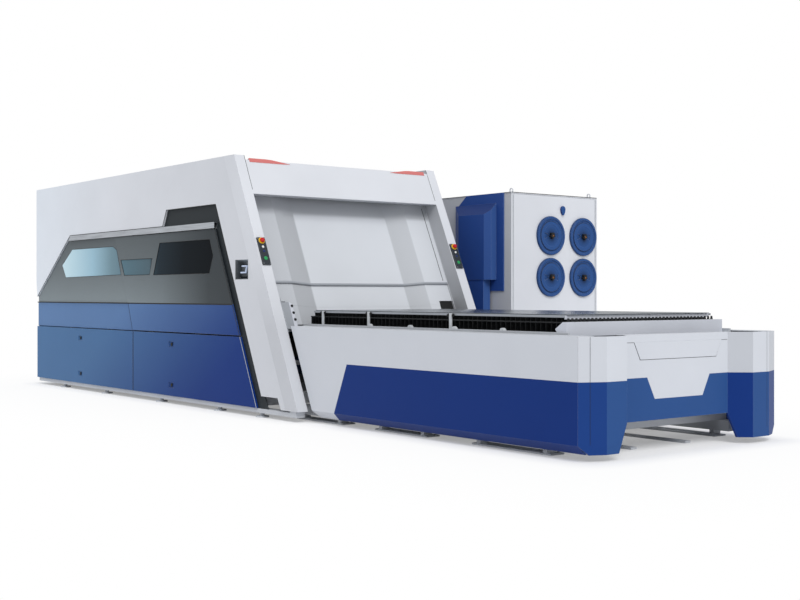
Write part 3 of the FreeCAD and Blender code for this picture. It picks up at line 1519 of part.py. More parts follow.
def build_drive():
    """Shaft across the free end with the two sprockets of the pallet chains, and its geared motor."""
    end = "lip_outer - table_beam_inner_lap - 1"
    pieces = [across_rod("shaft_rod", SHAFT_X, (f"-({end})", end), SHAFT_Z, "shaft_radius")]
    for side, span in zip(("near", "far"), both_sides("sprocket_offset", "sprocket_offset + sprocket_width")):
        pieces.append(across_rod(f"{side}_sprocket", SHAFT_X, span, SHAFT_Z, "sprocket_radius"))
    node(fused("shaft", pieces), "drive_shaft")

    rear = f"{STATIONS[3]} + table_beam_width / 2"
    inner = "-lip_outer + table_beam_inner_lap"
    gear_case = box("gear_case", (rear, f"{rear} + gear_case_length"), (f"{inner} - gear_case_width", inner),
                    (f"{SHAFT_Z} - gear_case_drop", "shelf_height - shelf_thickness"))
    motor = rod("drive_motor_case", f"{rear} + gear_case_length", f"{inner} - gear_case_width / 2", SHAFT_Z,
                "motor_radius", "motor_length", (0, 1, 0), "90")
    node(fused("drive", [gear_case, motor]), "drive_motor")


# ---------------------------------------------------------------- pallets

def pallet_frame_pieces(name, start, floor):
    """Side rails, cross members, end bars, brackets, wheels and the toothed end bar."""
    end = f"{start} + pallet_length"
    half = "pallet_half_width"
    rail_top = f"{floor} + pallet_rail"
    strip_top = f"{floor} + pallet_height * 2 / 3"
    pieces = []
    for side, span in zip(("near", "far"), both_sides(f"{half} - pallet_rail_width", half)):
        pieces.append(box(f"{name}_{side}_rail", (start, end), span, (floor, rail_top)))
    for side, span in zip(("near", "far"), both_sides(f"{half} - pallet_strip", half)):
        pieces.append(box(f"{name}_{side}_strip", (start, end), span, (f"{strip_top} - end_bar", strip_top)))
    for count, share in enumerate((0.02, 0.26, 0.5, 0.74, 0.98)):
        middle = f"{start} + pallet_length * {share}"
        pieces.append(box(f"{name}_cross_{count}",
                          (f"{middle} - pallet_rail_width / 2", f"{middle} + pallet_rail_width / 2"),
                          (f"-{half} + end_bar", f"{half} - end_bar"), (floor, f"{floor} + end_bar")))
    for count, offset in enumerate(("bracket_first", "bracket_second", "bracket_third")):
        middle = f"{start} + {offset}"
        front = f"{middle} + bracket_width / 2"
        for side, span in zip(("near", "far"), both_sides(half, f"{half} + bracket_sheet")):
            pieces.append(box(f"{name}_{side}_bracket_{count}", (f"{middle} - bracket_width / 2", front), span,
                              (floor, f"{floor} + pallet_height")))
            pieces.append(box(f"{name}_{side}_bracket_foot_{count}",
                              (f"{middle} - bracket_width / 2 - bracket_foot", front), span,
                              (floor, f"{floor} + 2 * bracket_sheet")))
    for count in range(4):
        middle = f"{start} + wheel_first + {count} * wheel_pitch"
        wheel_y = f"{half} + wheel_gap"
        height = f"{floor} - pallet_stand + 1 + wheel_radius"
        for side, arm, wheel in zip(("near", "far"), both_sides(f"{half} - end_bar", f"{wheel_y} + 1"),
                                    both_sides(wheel_y, f"{wheel_y} + wheel_width")):
            pieces.append(box(f"{name}_{side}_wheel_arm_{count}",
                              (f"{middle} - wheel_arm / 2", f"{middle} + wheel_arm / 2"), arm,
                              (floor, f"{floor} + pallet_rail")))
            pieces.append(across_rod(f"{name}_{side}_wheel_{count}", middle, wheel, height, "wheel_radius"))
    pieces.append(box(f"{name}_rear_bar", (start, f"{start} + end_bar"),
                      (f"-{half} + pallet_strip", f"{half} - pallet_strip"), (floor, strip_top)))
    return pieces


def end_teeth(name, start, floor):
    """Toothed bar across the free end of a pallet."""
    body = doc.addObject("PartDesign::Body", name + "_teeth")
    half = "pallet_half_width"
    bar_top = "(pallet_height * 2 / 3)"
    edge = f"-{half} + end_bar"
    bar_sketch = start_sketch(body, name + "_bar_outline", "YZ")
    draw_loop(bar_sketch, rectangle((f"-{half} + pallet_strip", "0"), (f"{half} - pallet_strip", bar_top)))
    bar = body.newObject("PartDesign::Pad", name + "_bar")
    bar.Profile = bar_sketch
    bind(bar, Length="end_bar")
    tooth_sketch = start_sketch(body, name + "_tooth_outline", "YZ")
    draw_loop(tooth_sketch, [
        (edge, f"{bar_top} - 1"),
        (f"{edge} + tooth_pitch * 0.6", f"{bar_top} - 1"),
        (f"{edge} + tooth_pitch * 0.45", f"{bar_top} + tooth_height"),
        (f"{edge} + tooth_pitch * 0.15", f"{bar_top} + tooth_height"),
    ])
    tooth = body.newObject("PartDesign::Pad", name + "_tooth")
    tooth.Profile = tooth_sketch
    bind(tooth, Length="end_bar")
    doc.recompute()
    row = body.newObject("PartDesign::LinearPattern", name + "_tooth_row")
    row.Originals = [tooth]
    row.Direction = (tooth_sketch, ["H_Axis"])
    steps = f"floor((2 * {half} - 2 * end_bar - tooth_pitch * 0.6) / tooth_pitch)"
    bind(row, Occurrences=f"{steps} + 1", Length=f"{steps} * tooth_pitch")
    body.Tip = row
    return place(body, f"{start} + pallet_length - end_bar", "0", floor)


def slat_grid(name, start, floor):
    """Upright slats across the pallet, held by two flat bars along it."""
    body = doc.addObject("PartDesign::Body", name + "_slats")
    slat_sketch = start_sketch(body, name + "_slat_outline", "YZ")
    half = "(pallet_half_width - slat_inset)"
    bar_height = "slat_inset / 2"
    draw_loop(slat_sketch, rectangle((f"-{half}", bar_height), (half, "pallet_height - end_bar")))
    slat = body.newObject("PartDesign::Pad", name + "_slat")
    slat.Profile = slat_sketch
    bind(slat, Length="slat_thickness")
    doc.recompute()
    row = body.newObject("PartDesign::LinearPattern", name + "_slat_row")
    row.Originals = [slat]
    row.Direction = (slat_sketch, ["N_Axis"])
    steps = "floor((pallet_length - 3 * slat_end_gap) / slat_pitch)"
    bind(row, Occurrences=f"{steps} + 1", Length=f"{steps} * slat_pitch")
    body.Tip = row
    foot = f"{floor} + end_bar"
    place(body, f"{start} + slat_end_gap", "0", foot)
    bars = [box(f"{name}_{side}_slat_bar", (f"{start} + slat_end_gap", f"{start} + pallet_length - slat_end_gap"),
                span, (foot, f"{foot} + {bar_height}"))
            for side, span in zip(("near", "far"), both_sides(f"{half} * 0.76", f"{half} * 0.81"))]
    return fused(name + "_grid", [body] + bars)


def build_pallets():
    start, floor = "pallet_start", "pallet_floor"
    end = f"{start} + pallet_length"
    pieces = pallet_frame_pieces("upper", start, floor) + [end_teeth("upper", start, floor)]
    node(fused("upper_frame", pieces), "upper_pallet")
    node(slat_grid("upper", start, floor), "pallet_slats")
    node(box("plate", (f"{start} + sheet_margin", f"{end} - sheet_margin"),
             ("-pallet_half_width + sheet_edge", "pallet_half_width - sheet_edge"),
             ("slat_top", "slat_top + sheet_plate")), "metal_sheet")

    apron_foot = f"{floor} - pallet_stand / 2"
    apron_top = f"({apron_foot} + apron_height)"
    front = f"({end} + apron_reach)"
    sheets = [
        box("apron_front", (f"{front} - apron_sheet", front), ("-apron_half_width", "apron_half_width"),
            (apron_foot, apron_top)),
        box("apron_top", (end, front), ("-apron_half_width", "apron_half_width"),
            (f"{apron_top} - apron_sheet", apron_top)),
    ]
    for side, span in zip(("near", "far"), both_sides("apron_half_width - apron_sheet", "apron_half_width")):
        sheets.append(side_plate(f"{side}_apron_return", span, [[
            (front, apron_top),
            (end, apron_top),
            (f"{end} - 2 * apron_reach", f"{apron_top} - apron_height / 2"),
            (f"{end} - apron_reach", apron_foot),
            (front, apron_foot),
        ]]))
    node(fused("apron", sheets), "pallet_apron")

    start, floor = "pallet_start - pallet_travel", "pallet_floor - level_drop"
    pieces = pallet_frame_pieces("lower", start, floor) + [end_teeth("lower", start, floor)]
    pieces.append(slat_grid("lower", start, floor))
    node(fused("lower_frame", pieces), "lower_pallet")


# ---------------------------------------------------------------- filter unit

def lifting_eye(name, x, y):
    """A flat lug with a hole, welded on the roof."""
    height = "filter_height + eye_radius - 1"
    half = "eye_plate / 2"
    lug = across_rod(name + "_round", x, (f"{y} - {half}", f"{y} + {half}"), height, "eye_radius")
    root = box(name + "_root", (f"{x} - eye_radius", f"{x} + eye_radius"), (f"{y} - {half}", f"{y} + {half}"),
               ("filter_height - 1", height))
    bore = across_rod(name + "_bore", x, (f"{y} - eye_plate", f"{y} + eye_plate"), height, "eye_bore")
    return cut(name, fused(name + "_lug", [lug, root]), bore)


def build_filter_housing():
    near, far = "filter_near", "filter_near + filter_width"
    rear, front = "filter_front - filter_length", "filter_front"
    groove = "filter_groove_depth"
    body = box("filter_body", (rear, front), (near, far),
               ("filter_plinth", "filter_height - filter_cap - filter_groove"))
    neck = box("filter_neck", (f"{rear} + {groove}", f"{front} - {groove}"),
               (f"{near} + {groove}", f"{far} - {groove}"), ("0", "filter_height"))
    lid = box("filter_lid", (rear, front), (near, far), ("filter_height - filter_cap", "filter_height"))
    pieces = [body, neck, lid]
    for end, x in (("front", f"{front} - eye_inset"), ("rear", f"{rear} + eye_inset")):
        for side, y in (("near", f"{near} + eye_inset"), ("far", f"{far} - eye_inset")):
            pieces.append(lifting_eye(f"{end}_{side}_eye", x, y))
    seat = rod("filter_latch_seat", f"{front} - filter_cap", f"{near} + filter_latch_offset", "filter_latch_height",
               "latch_bore", "filter_cap + 1", (0, 1, 0), "90")
    inside = box("filter_inside", (f"{rear} + filter_wall", f"{front} - filter_wall"),
                 (f"{near} + filter_wall", f"{far} - filter_wall"),
                 ("filter_plinth + filter_wall", "filter_height - filter_wall - filter_cap"))
    node(cut("filter_cabinet", fused("filter_solid", pieces), fused("filter_cuts", [seat, inside])),
         "filter_housing")


def cover_places():
    for high in (True, False):
        for far in (False, True):
            y = "filter_near + cover_near" + (" + cover_spacing" if far else "")
            z = "cover_low_height" + (" + cover_rise" if high else "")
            yield y, z


def build_filter_covers():
    """Round covers with stepped rings over the cartridges, each held by a star knob."""
    step = "cover_depth / 3"
    profile = [
        ("knob_stud + 1", "0"),
        ("cover_radius", "0"),
        ("cover_radius", f"2 * {step}"),
        (f"cover_radius - {step}", "cover_depth"),
        ("cover_radius * 0.88", "cover_depth"),
        ("cover_radius * 0.85", f"1.5 * {step}"),
        ("cover_radius * 0.77", f"1.5 * {step}"),
        ("cover_radius * 0.74", f"2.5 * {step}"),
        ("cover_radius * 0.57", f"2.5 * {step}"),
        ("cover_radius * 0.53", f"2 * {step}"),
        ("knob_stud + 1", f"2 * {step}"),
    ]
    covers = []
    for count, (y, z) in enumerate(cover_places(), start=1):
        disc = turned(f"filter_cover_{count}", profile)
        place(disc, "filter_front", y, z, (0, 1, 0), "90")
        recess = cross_plate(f"cover_recess_{count}",
                             (f"filter_front + 2 * {step} - cover_wing_depth", "filter_front + cover_depth"),
                             wing_recess(y, z))
        covers.append(cut(f"filter_cover_cut_{count}", disc, recess))
        node(star_knob(f"knob_{count}", y, z), f"filter_knob_{count}")
    node(together("cover_group", covers), "filter_covers")


def wing_recess(y, z):
    """Two finger recesses, left and right of the knob, that widen outward."""
    inner, outer = "knob_radius * 1.3", "cover_radius * 0.48"
    loops = []
    for sign in (-1, 1):
        loops.append([
            (f"{y} + {sign} * ({inner})", f"{z} - knob_radius * 0.4"),
            (f"{y} + {sign} * ({outer})", f"{z} - knob_radius * 0.9"),
            (f"{y} + {sign} * ({outer})", f"{z} + knob_radius * 0.9"),
            (f"{y} + {sign} * ({inner})", f"{z} + knob_radius * 0.4"),
        ])
    return loops


def star_knob(name, y, z):
    body = doc.addObject("PartDesign::Body", name + "_body")
    hub_sketch = start_sketch(body, name + "_hub_outline", "XY")
    draw_circle(hub_sketch, ("0", "0"), "knob_radius * 0.7")
    hub = body.newObject("PartDesign::Pad", name + "_hub")
    hub.Profile = hub_sketch
    bind(hub, Length="knob_height")
    lobe_sketch = start_sketch(body, name + "_lobe_outline", "XY")
    draw_circle(lobe_sketch, ("knob_radius * 0.72", "0"), "knob_radius * 0.28")
    lobe = body.newObject("PartDesign::Pad", name + "_lobe")
    lobe.Profile = lobe_sketch
    bind(lobe, Length="knob_height * 0.85")
    doc.recompute()
    ring = body.newObject("PartDesign::PolarPattern", name + "_lobes")
    ring.Originals = [lobe]
    ring.Axis = (lobe_sketch, ["N_Axis"])
    ring.Angle = 360
    ring.Occurrences = 5
    body.Tip = ring
    place(body, "filter_front + cover_depth * 2 / 3 + 2", y, z, (0, 1, 0), "90")
    stud = rod(name + "_stud", "filter_front + 2", y, z, "knob_stud", "cover_depth * 2 / 3 + 2", (0, 1, 0), "90")
    return fused(name + "_turning", [body, stud])


def build_filter_latch():
    """Drop-shaped turning latch on a stem that sits in the cabinet's front."""
    y = "(filter_near + filter_latch_offset)"
    z = "filter_latch_height"
    size = "(filter_latch_offset / 23.5)"
    drop = [(0, 1), (0.7, 0.7), (1, 0), (0.83, -0.93), (0.3, -2.07), (-0.3, -2.07), (-0.83, -0.93), (-1, 0),
            (-0.7, 0.7)]
    outline = [(f"{y} + {across} * {size}", f"{z} + {up} * {size}") for across, up in drop]
    lever = cross_plate("latch_lever", ("filter_front + 2", "filter_front + 2 + latch_plate"), [outline])
    stem = rod("latch_stem_pin", "filter_front - filter_cap + 2", y, z, "latch_stem", "filter_cap + 2",
               (0, 1, 0), "90")
    node(fused("latch_turning", [lever, stem]), "filter_latch")


def hood_solid(name, wall):
    """Hood with a hipped top, a long bevel on its left and a small one on its right."""
    front = f"(filter_near - hood_depth + {wall})"
    back = "(filter_near - hood_flange)" if wall == "0" else "(filter_near + 1)"
    left = f"(hood_left + 1.4 * {wall})"
    right = f"(hood_right - hood_tail * 0.58 - {wall})"
    foot = f"hood_foot + hood_floor_rise + {wall}"
    top = f"filter_height - hood_top_drop - {wall}"
    body = cross_plate(name + "_body", (left, right), [[
        (back, foot),
        (front, foot),
        (front, top),
        (back, f"{top} + (filter_near - {front}) * 0.92"),
    ]])
    low, high = "hood_foot", "filter_height"
    bevel_left = flat_plate(name + "_left_bevel", (low, high), [[
        (f"{left} - 1", f"{front} - 1"),
        (f"{left} + hood_bevel", f"{front} - 1"),
        (f"{left} - 1", f"{back} + 1"),
    ]])
    bevel_right = flat_plate(name + "_right_bevel", (low, high), [[
        (f"{right} - hood_corner", f"{front} - 1"),
        (f"{right} + 1", f"{front} - 1"),
        (f"{right} + 1", f"{front} + hood_depth / 3"),
    ]])
    return cut(name, body, fused(name + "_bevels", [bevel_left, bevel_right]))


def build_hood_and_duct():
    flange = side_plate("hood_flange_plate", ("filter_near - hood_flange", "filter_near"), [[
        ("hood_right", "hood_foot"),
        ("hood_right", "filter_height - 2"),
        ("hood_left + hood_bevel", "filter_height - 2"),
        ("hood_left + hood_flange", "filter_height - hood_top_drop * 0.62"),
        ("hood_left", "filter_height - hood_top_drop"),
        ("hood_left", "hood_foot"),
    ]])
    solid = fused("hood_outer", [flange, hood_solid("hood_shell", "0")])
    duct_back = "(filter_near - duct_gap)"
    duct_front = f"({duct_back} - duct_depth)"
    wall = "duct_wall"
    duct_top = "hood_foot + hood_floor_rise"
    mouth = box("hood_mouth", (f"duct_left + {wall}", f"duct_right - {wall}"),
                (f"{duct_front} + {wall}", f"{duct_back} - {wall}"),
                (f"{duct_top} - {wall}", f"{duct_top} + 3 * {wall}"))
    hollow = fused("hood_hollow", [hood_solid("hood_inside", wall), mouth])
    node(cut("hood", solid, hollow), "filter_hood")

    elbow = "duct_floor + duct_height"
    outer = cross_plate("duct_outer", ("duct_left", "duct_right"), [[
        ("cabin_half_width", "duct_floor"),
        (duct_back, "duct_floor"),
        (duct_back, duct_top),
        (duct_front, duct_top),
        (duct_front, elbow),
        ("cabin_half_width", elbow),
    ]])
    inner = cross_plate("duct_inner", (f"duct_left + {wall}", f"duct_right - {wall}"), [[
        ("cabin_half_width - 1", f"duct_floor + {wall}"),
        (f"{duct_back} - {wall}", f"duct_floor + {wall}"),
        (f"{duct_back} - {wall}", f"{duct_top} + 1"),
        (f"{duct_front} + {wall}", f"{duct_top} + 1"),
        (f"{duct_front} + {wall}", f"{elbow} - {wall}"),
        ("cabin_half_width - 1", f"{elbow} - {wall}"),
    ]])
    node(cut("duct", outer, inner), "suction_duct")


# ---------------------------------------------------------------- build, check and write

def build_machine():
    build_covers()
    build_fixed_blue_panels()
    build_lift_off_panels()
    build_panel_latches()
    build_surround()
    build_fixed_leaf()
    build_sliding_door()
    build_door_track()
    build_portal()
    build_shutter()
    build_entry_guard()
    build_controls()
    build_display()
    build_bed()
    build_gantry()
    build_feet_and_plates()
    build_laser_source()
    build_end_cover(build_side_covers())
    build_table_frame()
    build_drive()
    build_pallets()
    build_filter_housing()
    build_filter_covers()
    build_filter_latch()
    build_hood_and_duct()


def write_parts():
    doc.recompute()
    for thing in doc.Objects:
        if any(word in thing.State for word in ("Invalid", "Error")):
            raise RuntimeError(f"{thing.Name} is {thing.State}")
    for thing in NODES:
        shape = thing.Shape
        if shape.isNull() or not shape.isValid() or not shape.Solids:
            raise RuntimeError(f"{thing.Label} has no valid solid")
        shape.exportStep(f"parts/{thing.Label}.step")


build_machine()
write_parts()
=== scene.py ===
import math

import bmesh
import bpy
from bpy.props import FloatProperty, FloatVectorProperty, PointerProperty
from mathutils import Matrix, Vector


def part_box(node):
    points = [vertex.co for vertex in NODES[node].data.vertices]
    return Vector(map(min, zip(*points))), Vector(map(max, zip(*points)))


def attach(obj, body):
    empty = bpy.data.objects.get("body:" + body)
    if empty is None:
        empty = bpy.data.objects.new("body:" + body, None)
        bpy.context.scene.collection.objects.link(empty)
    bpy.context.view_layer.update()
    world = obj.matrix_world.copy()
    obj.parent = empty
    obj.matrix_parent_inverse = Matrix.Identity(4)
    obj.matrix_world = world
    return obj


bl_info = {
    "name": "Laser Cutting Machine",
    "version": (1, 0, 0),
    "blender": (4, 5, 0),
    "location": "View3D > Sidebar > Laser Cutter",
    "description": "Finishes, small fittings and studio stage for a laser cutting machine",
    "category": "Object",
}

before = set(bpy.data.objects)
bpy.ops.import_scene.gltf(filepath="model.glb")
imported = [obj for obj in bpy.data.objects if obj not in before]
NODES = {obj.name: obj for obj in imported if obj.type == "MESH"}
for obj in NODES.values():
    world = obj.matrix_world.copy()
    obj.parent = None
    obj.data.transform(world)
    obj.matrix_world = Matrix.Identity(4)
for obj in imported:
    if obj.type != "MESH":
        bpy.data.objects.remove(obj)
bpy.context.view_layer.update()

MM = 0.001
DATUM = Vector((4.40803, 0.7825, 0.0))
LEAN = math.radians(24.9)
LEAN_UP = Vector((-math.sin(LEAN), 0, math.cos(LEAN)))
LEAN_OUT = Vector((math.cos(LEAN), 0, math.sin(LEAN)))
DOWN_LINE = Vector((1, 0, 0))
TO_OPERATOR = Vector((0, -1, 0))
UPRIGHT = Vector((0, 0, 1))
SIDES = (-1, 1)

# Where the solids stand that the fittings sit on, in metres from the cabin's rear, centre plane and floor.
CABIN_TOP = 2.314
CABIN_TOP_LENGTH = 4.665
CABIN_SIDE = -1.155
LEAF_DEPTH = 0.014
PANE_DEPTH = 0.003
DOOR_FRONT_INSET = 0.65
DOOR_FOOT, DOOR_TOP = 0.701, 1.664
DOOR_SILL = 0.975
PANEL_FOOT, PANEL_TOP = 0.081, 0.689
PANEL_JOINT = 2.6212
FOLD_OUTER, FOLD_INNER = 0.765, 0.53
PALLET_SIDE = 0.768
PALLET_STRIP_FOOT = 0.905
BRACKET_FACE = 0.7892
BRACKET_STATIONS = (5.540, 6.191, 7.213)
FILTER_NEAR, FILTER_FAR, FILTER_FRONT = 1.5, 2.72, 5.439

# Outlines of the panes, as places along and up.
FIXED_WINDOW = [(1.038, 1.575), (2.112, 1.575), (2.206, 1.534), (2.315, 1.27), (0.853, 1.257), (0.747, 1.401)]
SMALL_WINDOW = [(2.330, 1.427), (3.059, 1.427), (3.0, 1.261), (2.416, 1.261)]
LARGE_WINDOW = [(3.217, 1.575), (4.224, 1.575), (4.288, 1.419), (4.217, 1.257), (3.08, 1.257)]

BLACK = (0, 0, 0)
WHITE = (1, 1, 1)
# Pale edge colour: partly rubbed wear, partly a painted highlight where edges catch the light.
RUBBED_EDGE_HIGHLIGHT = (0.8, 0.82, 0.85)


def linear(hex_colour):
    """Linear red, green and blue of an sRGB hex value."""
    channels = [int(hex_colour[i:i + 2], 16) / 255 for i in (1, 3, 5)]
    return tuple(c / 12.92 if c <= 0.04045 else ((c + 0.055) / 1.055) ** 2.4 for c in channels)


def dimmed(value, factor):
    """A linear colour made paler or darker by a factor."""
    return tuple(min(1.0, c * factor) for c in value)


def tones(value, factors):
    """Ramp stops from one colour and its factor at each position."""
    return {position: dimmed(value, factor) for position, factor in factors.items()}


def at(x, y, z):
    """A point of the machine, from its datum at the cabin's rear, centre plane and floor."""
    return Vector((x, y, z)) - DATUM


def front_x(height):
    """How far along the leaning front stands at a height."""
    return CABIN_TOP_LENGTH + (CABIN_TOP - height) * math.tan(LEAN)


def door_front(height):
    """How far along the slanting front edge of the door and of its panel stands at a height."""
    return front_x(height) - DOOR_FRONT_INSET


def on_front(out, across, up):
    """A point beside the leaning front: out of it, across it and up along it."""
    foot = at(front_x(0.0), across, 0.0)
    return foot + LEAN_OUT * out + LEAN_UP * up


def along_front(height):
    return height / math.cos(LEAN)


def side_points(pairs, y):
    return [at(x, y, z) for x, z in pairs]


def rectangle(place, first, second):
    """Four corners from two opposite ones, through a function that places a pair of measures."""
    (a, b), (c, d) = first, second
    return [place(a, b), place(c, b), place(c, d), place(a, d)]


# ---------------- settings

def colour(name, description, hex_colour):
    return FloatVectorProperty(name=name, description=description, subtype="COLOR", size=3, min=0, max=1,
                               default=linear(hex_colour))


def length(name, description, millimetres):
    return FloatProperty(name=name, description=description, unit="LENGTH", subtype="DISTANCE", min=0.0,
                         default=millimetres * MM)


class CutterColours(bpy.types.PropertyGroup):
    """Paint and plastic colours of the machine."""

    white_coat: colour("White coat", "Powder coat of the cabin and the portal", "#DADCE1")
    white_table: colour("White coat, table", "Powder coat of the table's upper covers", "#CDD0D6")
    # The band and light-end blues are painted sheen and reflection, faded into the deep blue towards the front.
    blue_band_sheen: colour("Blue coat, band", "Blue coat of the band above the lower panels", "#5D80AE")
    blue_light: colour("Blue coat, light end", "Blue coat where the side panels catch the light", "#4973A0")
    blue_deep: colour("Blue coat, deep end", "Blue coat of the side panels at the front", "#07317B")
    # A lit copy of the table blue: a painted highlight for faces that look down the line towards the light.
    blue_table: colour("Blue coat, table", "Blue coat of the table's skirts and the filter", "#0A3077")
    blue_lit_end: colour("Blue coat, end faces", "Blue coat on faces that look down the line", "#2A4F88")
    # Lit and shaded copies of the door coat; painted light and shade are blended between them.
    door_light: colour("Door coat", "Dark coat of the door zone where it catches the light", "#828C90")
    door_dark: colour("Door coat, dark end", "Dark coat of the door zone at the front and round the leaves",
                      "#30363A")
    shutter_grey: colour("Shutter grey", "Pale grey of the folded front panels", "#D4D7DC")
    frame_grey: colour("Frame grey", "Grey coat of the bed and of the frames under the table", "#C6C9CE")
    lamp_red: colour("Lamp red", "Red of the status lamp lenses", "#CF7470")
    button_red: colour("Stop button red", "Red of the emergency-stop heads", "#C4161C")
    button_green: colour("Start button green", "Green of the start buttons", "#1F9A55")
    collar_yellow: colour("Collar yellow", "Yellow of the emergency-stop collars", "#E8B81E")


class CutterSizes(bpy.types.PropertyGroup):
    """Sizes of the small fittings."""

    gasket_width: length("Window gasket", "Width of the rubber seal round each pane", 4)
    trim_width: length("Edge trim", "Width of the strips along the front edges of the door and of its panel", 7)
    ridge_width: length("Shutter ridge", "Width of the rounded bead at the foot of the upper front sheet", 26)
    seam_width: length("Seam line", "Width of the dark joint lines between sheets", 4)
    bolt_size: length("Bolt head", "Width of a bolt head across its flats", 17)
    screw_size: length("Screw head", "Diameter of a panel screw's head", 11)
    # This radius also sets the width of the painted highlight along edges.
    wear_highlight_radius: length("Edge wear", "Radius over which an edge shows rounded and rubbed", 3)


class StudioSettings(bpy.types.PropertyGroup):
    """Light and camera of the studio."""

    sky_level: FloatProperty(name="Sky level", description="Strength of the even light from all round",
                             min=0, default=0.62)
    sun_level: FloatProperty(name="Key level", description="Strength of the soft key light",
                             min=0, default=1.55)
    focal_length: FloatProperty(name="Focal length", description="Focal length of the camera", unit="CAMERA",
                                min=1, default=53.857)


# ---------------- materials

def fill(node, inputs):
    """Set each input of a node, or link it where its value is a socket. A colour gets full alpha."""
    for name, value in inputs.items():
        socket = node.inputs[name]
        if isinstance(value, bpy.types.NodeSocket):
            node.id_data.links.new(value, socket)
        else:
            socket.default_value = (*value, 1.0) if socket.type == "RGBA" else value


def add_node(tree, kind, inputs=(), out=0, stops=None, **settings):
    """Add one shader node with its settings, its inputs and a ramp's stops, and return one of its outputs."""
    node = tree.nodes.new("ShaderNode" + kind)
    for name, value in settings.items():
        setattr(node, name, value)
    fill(node, inputs if isinstance(inputs, dict) else dict(enumerate(inputs)))
    if stops:
        elements = node.color_ramp.elements
        while len(elements) < len(stops):
            elements.new(0.5)
        for element, (position, value) in zip(elements, stops.items()):
            element.position = position
            element.color = (*(linear(value) if isinstance(value, str) else value), 1.0)
    return node.outputs[out] if node.outputs else node


def empty_tree(owner):
    """The node tree of a material or world, cleared."""
    owner.use_nodes = True
    owner.node_tree.nodes.clear()
    return owner.node_tree


class Look:
    """A material in the making: its tree, shader and coordinates."""

    def __init__(self, name, shader="BsdfPrincipled"):
        self.material = bpy.data.materials.new(name)
        self.tree = empty_tree(self.material)
        self.surface = self.node(shader).node
        self.node("OutputMaterial", (self.surface.outputs[0],))
        coordinates = self.node("TexCoord").node.outputs
        self.spot, self.normal = coordinates["Object"], coordinates["Normal"]

    def node(self, kind, inputs=(), out=0, **settings):
        return add_node(self.tree, kind, inputs, out, **settings)

    def gradient(self, start, end):
        """A 0 to 1 factor along the line between two points of the machine."""
        run = end - start
        offset = start.dot(run) / run.length_squared
        along = self.node("VectorMath", (self.spot, run / run.length_squared), "Value", operation="DOT_PRODUCT")
        return self.node("Math", (along, offset), operation="SUBTRACT", use_clamp=True)

    def facing(self, direction):
        """How far the surface looks along a direction of its own piece, from 0 to 1."""
        along = self.node("VectorMath", (self.normal, direction), "Value", operation="DOT_PRODUCT")
        return self.node("Math", (along, 0.0), operation="ADD", use_clamp=True)

    def from_centre(self):
        """How far a place lies from the machine's centre plane, negative towards the operator."""
        across = self.node("SeparateXYZ", (self.spot,), "Y")
        return self.node("Math", (across, DATUM.y), operation="ADD")

    def beyond_box(self, middle, half):
        """How far a place lies outside a box on each axis: negative inside it."""
        from_middle = self.node("VectorMath", (self.spot, middle), operation="SUBTRACT")
        aside = self.node("VectorMath", (from_middle,), operation="ABSOLUTE")
        return self.node("VectorMath", (aside, half), operation="SUBTRACT")

    def coat(self, base, roughness=0.45, speckle=0.03, peel_mm=2.2, shine=0.25, rubbed=0.3):
        """Powder coat: a peel in the gloss, drawn coarse enough to show, and pale edges that are partly rubbed
        wear and partly a painted highlight.
        """
        cloud_scale, peel_depth, barely_bent, well_bent = 1.7, 0.4 * MM, 0.98, 0.75
        peel = self.node("TexNoise", {"Vector": self.spot, "Scale": 1 / (peel_mm * MM), "Detail": 2.0})
        cloud = self.node("TexNoise", {"Vector": self.spot, "Scale": cloud_scale, "Detail": 4.0})
        uneven = self.node("MapRange", {"Value": cloud, "From Min": 0.3, "From Max": 0.7, "To Min": 1 - speckle,
                                        "To Max": 1 + speckle / 2})
        tinted = self.node("VectorMath", {0: base, "Scale": uneven}, operation="SCALE")
        # Edges turn towards the pale colour: partly rubbed wear, partly a painted highlight.
        rounded = self.node("Bevel", {"Radius": bpy.context.scene.cutter_sizes.wear_highlight_radius}, samples=4)
        flat = self.node("NewGeometry", out="Normal")
        bend = self.node("VectorMath", (rounded, flat), "Value", operation="DOT_PRODUCT")
        edge = self.node("MapRange", {"Value": bend, "From Min": barely_bent, "From Max": well_bent,
                                      "To Max": rubbed})
        fill(self.surface, {
            "Base Color": self.node("Mix", {0: edge, 6: tinted, 7: RUBBED_EDGE_HIGHLIGHT}, 2, data_type="RGBA"),
            "Roughness": self.node("MapRange", {"Value": peel, "To Min": roughness - 0.06,
                                                "To Max": roughness + 0.06}),
            "Normal": self.node("Bump", {"Height": peel, "Normal": rounded, "Strength": 0.05,
                                         "Distance": peel_depth}),
            "IOR": 1.5,
            "Specular IOR Level": shine,
        })


MAKERS = []


def material(maker):
    """Note the maker of the material of its own name, by which the pieces find it."""
    MAKERS.append(maker)
    return maker


@material
def white_powder_coat(look, colours):
    """Polyester powder coat on folded steel, with painted light: even and pale, cooler and brighter towards the
    rear.
    """
    # Painted light: the coat is brighter and cooler at the rear and greyer towards the front.
    along = look.gradient(at(0, 0, 0), at(5.9, 0, 0))
    painted_light_rear = tuple(a * b for a, b in zip(colours.white_coat, (1.15, 1.19, 1.21)))
    stops = {0.0: painted_light_rear, **tones(colours.white_coat, {0.4: 1.05, 0.8: 0.96, 1.0: 0.93})}
    look.coat(look.node("ValToRGB", (along,), stops=stops))


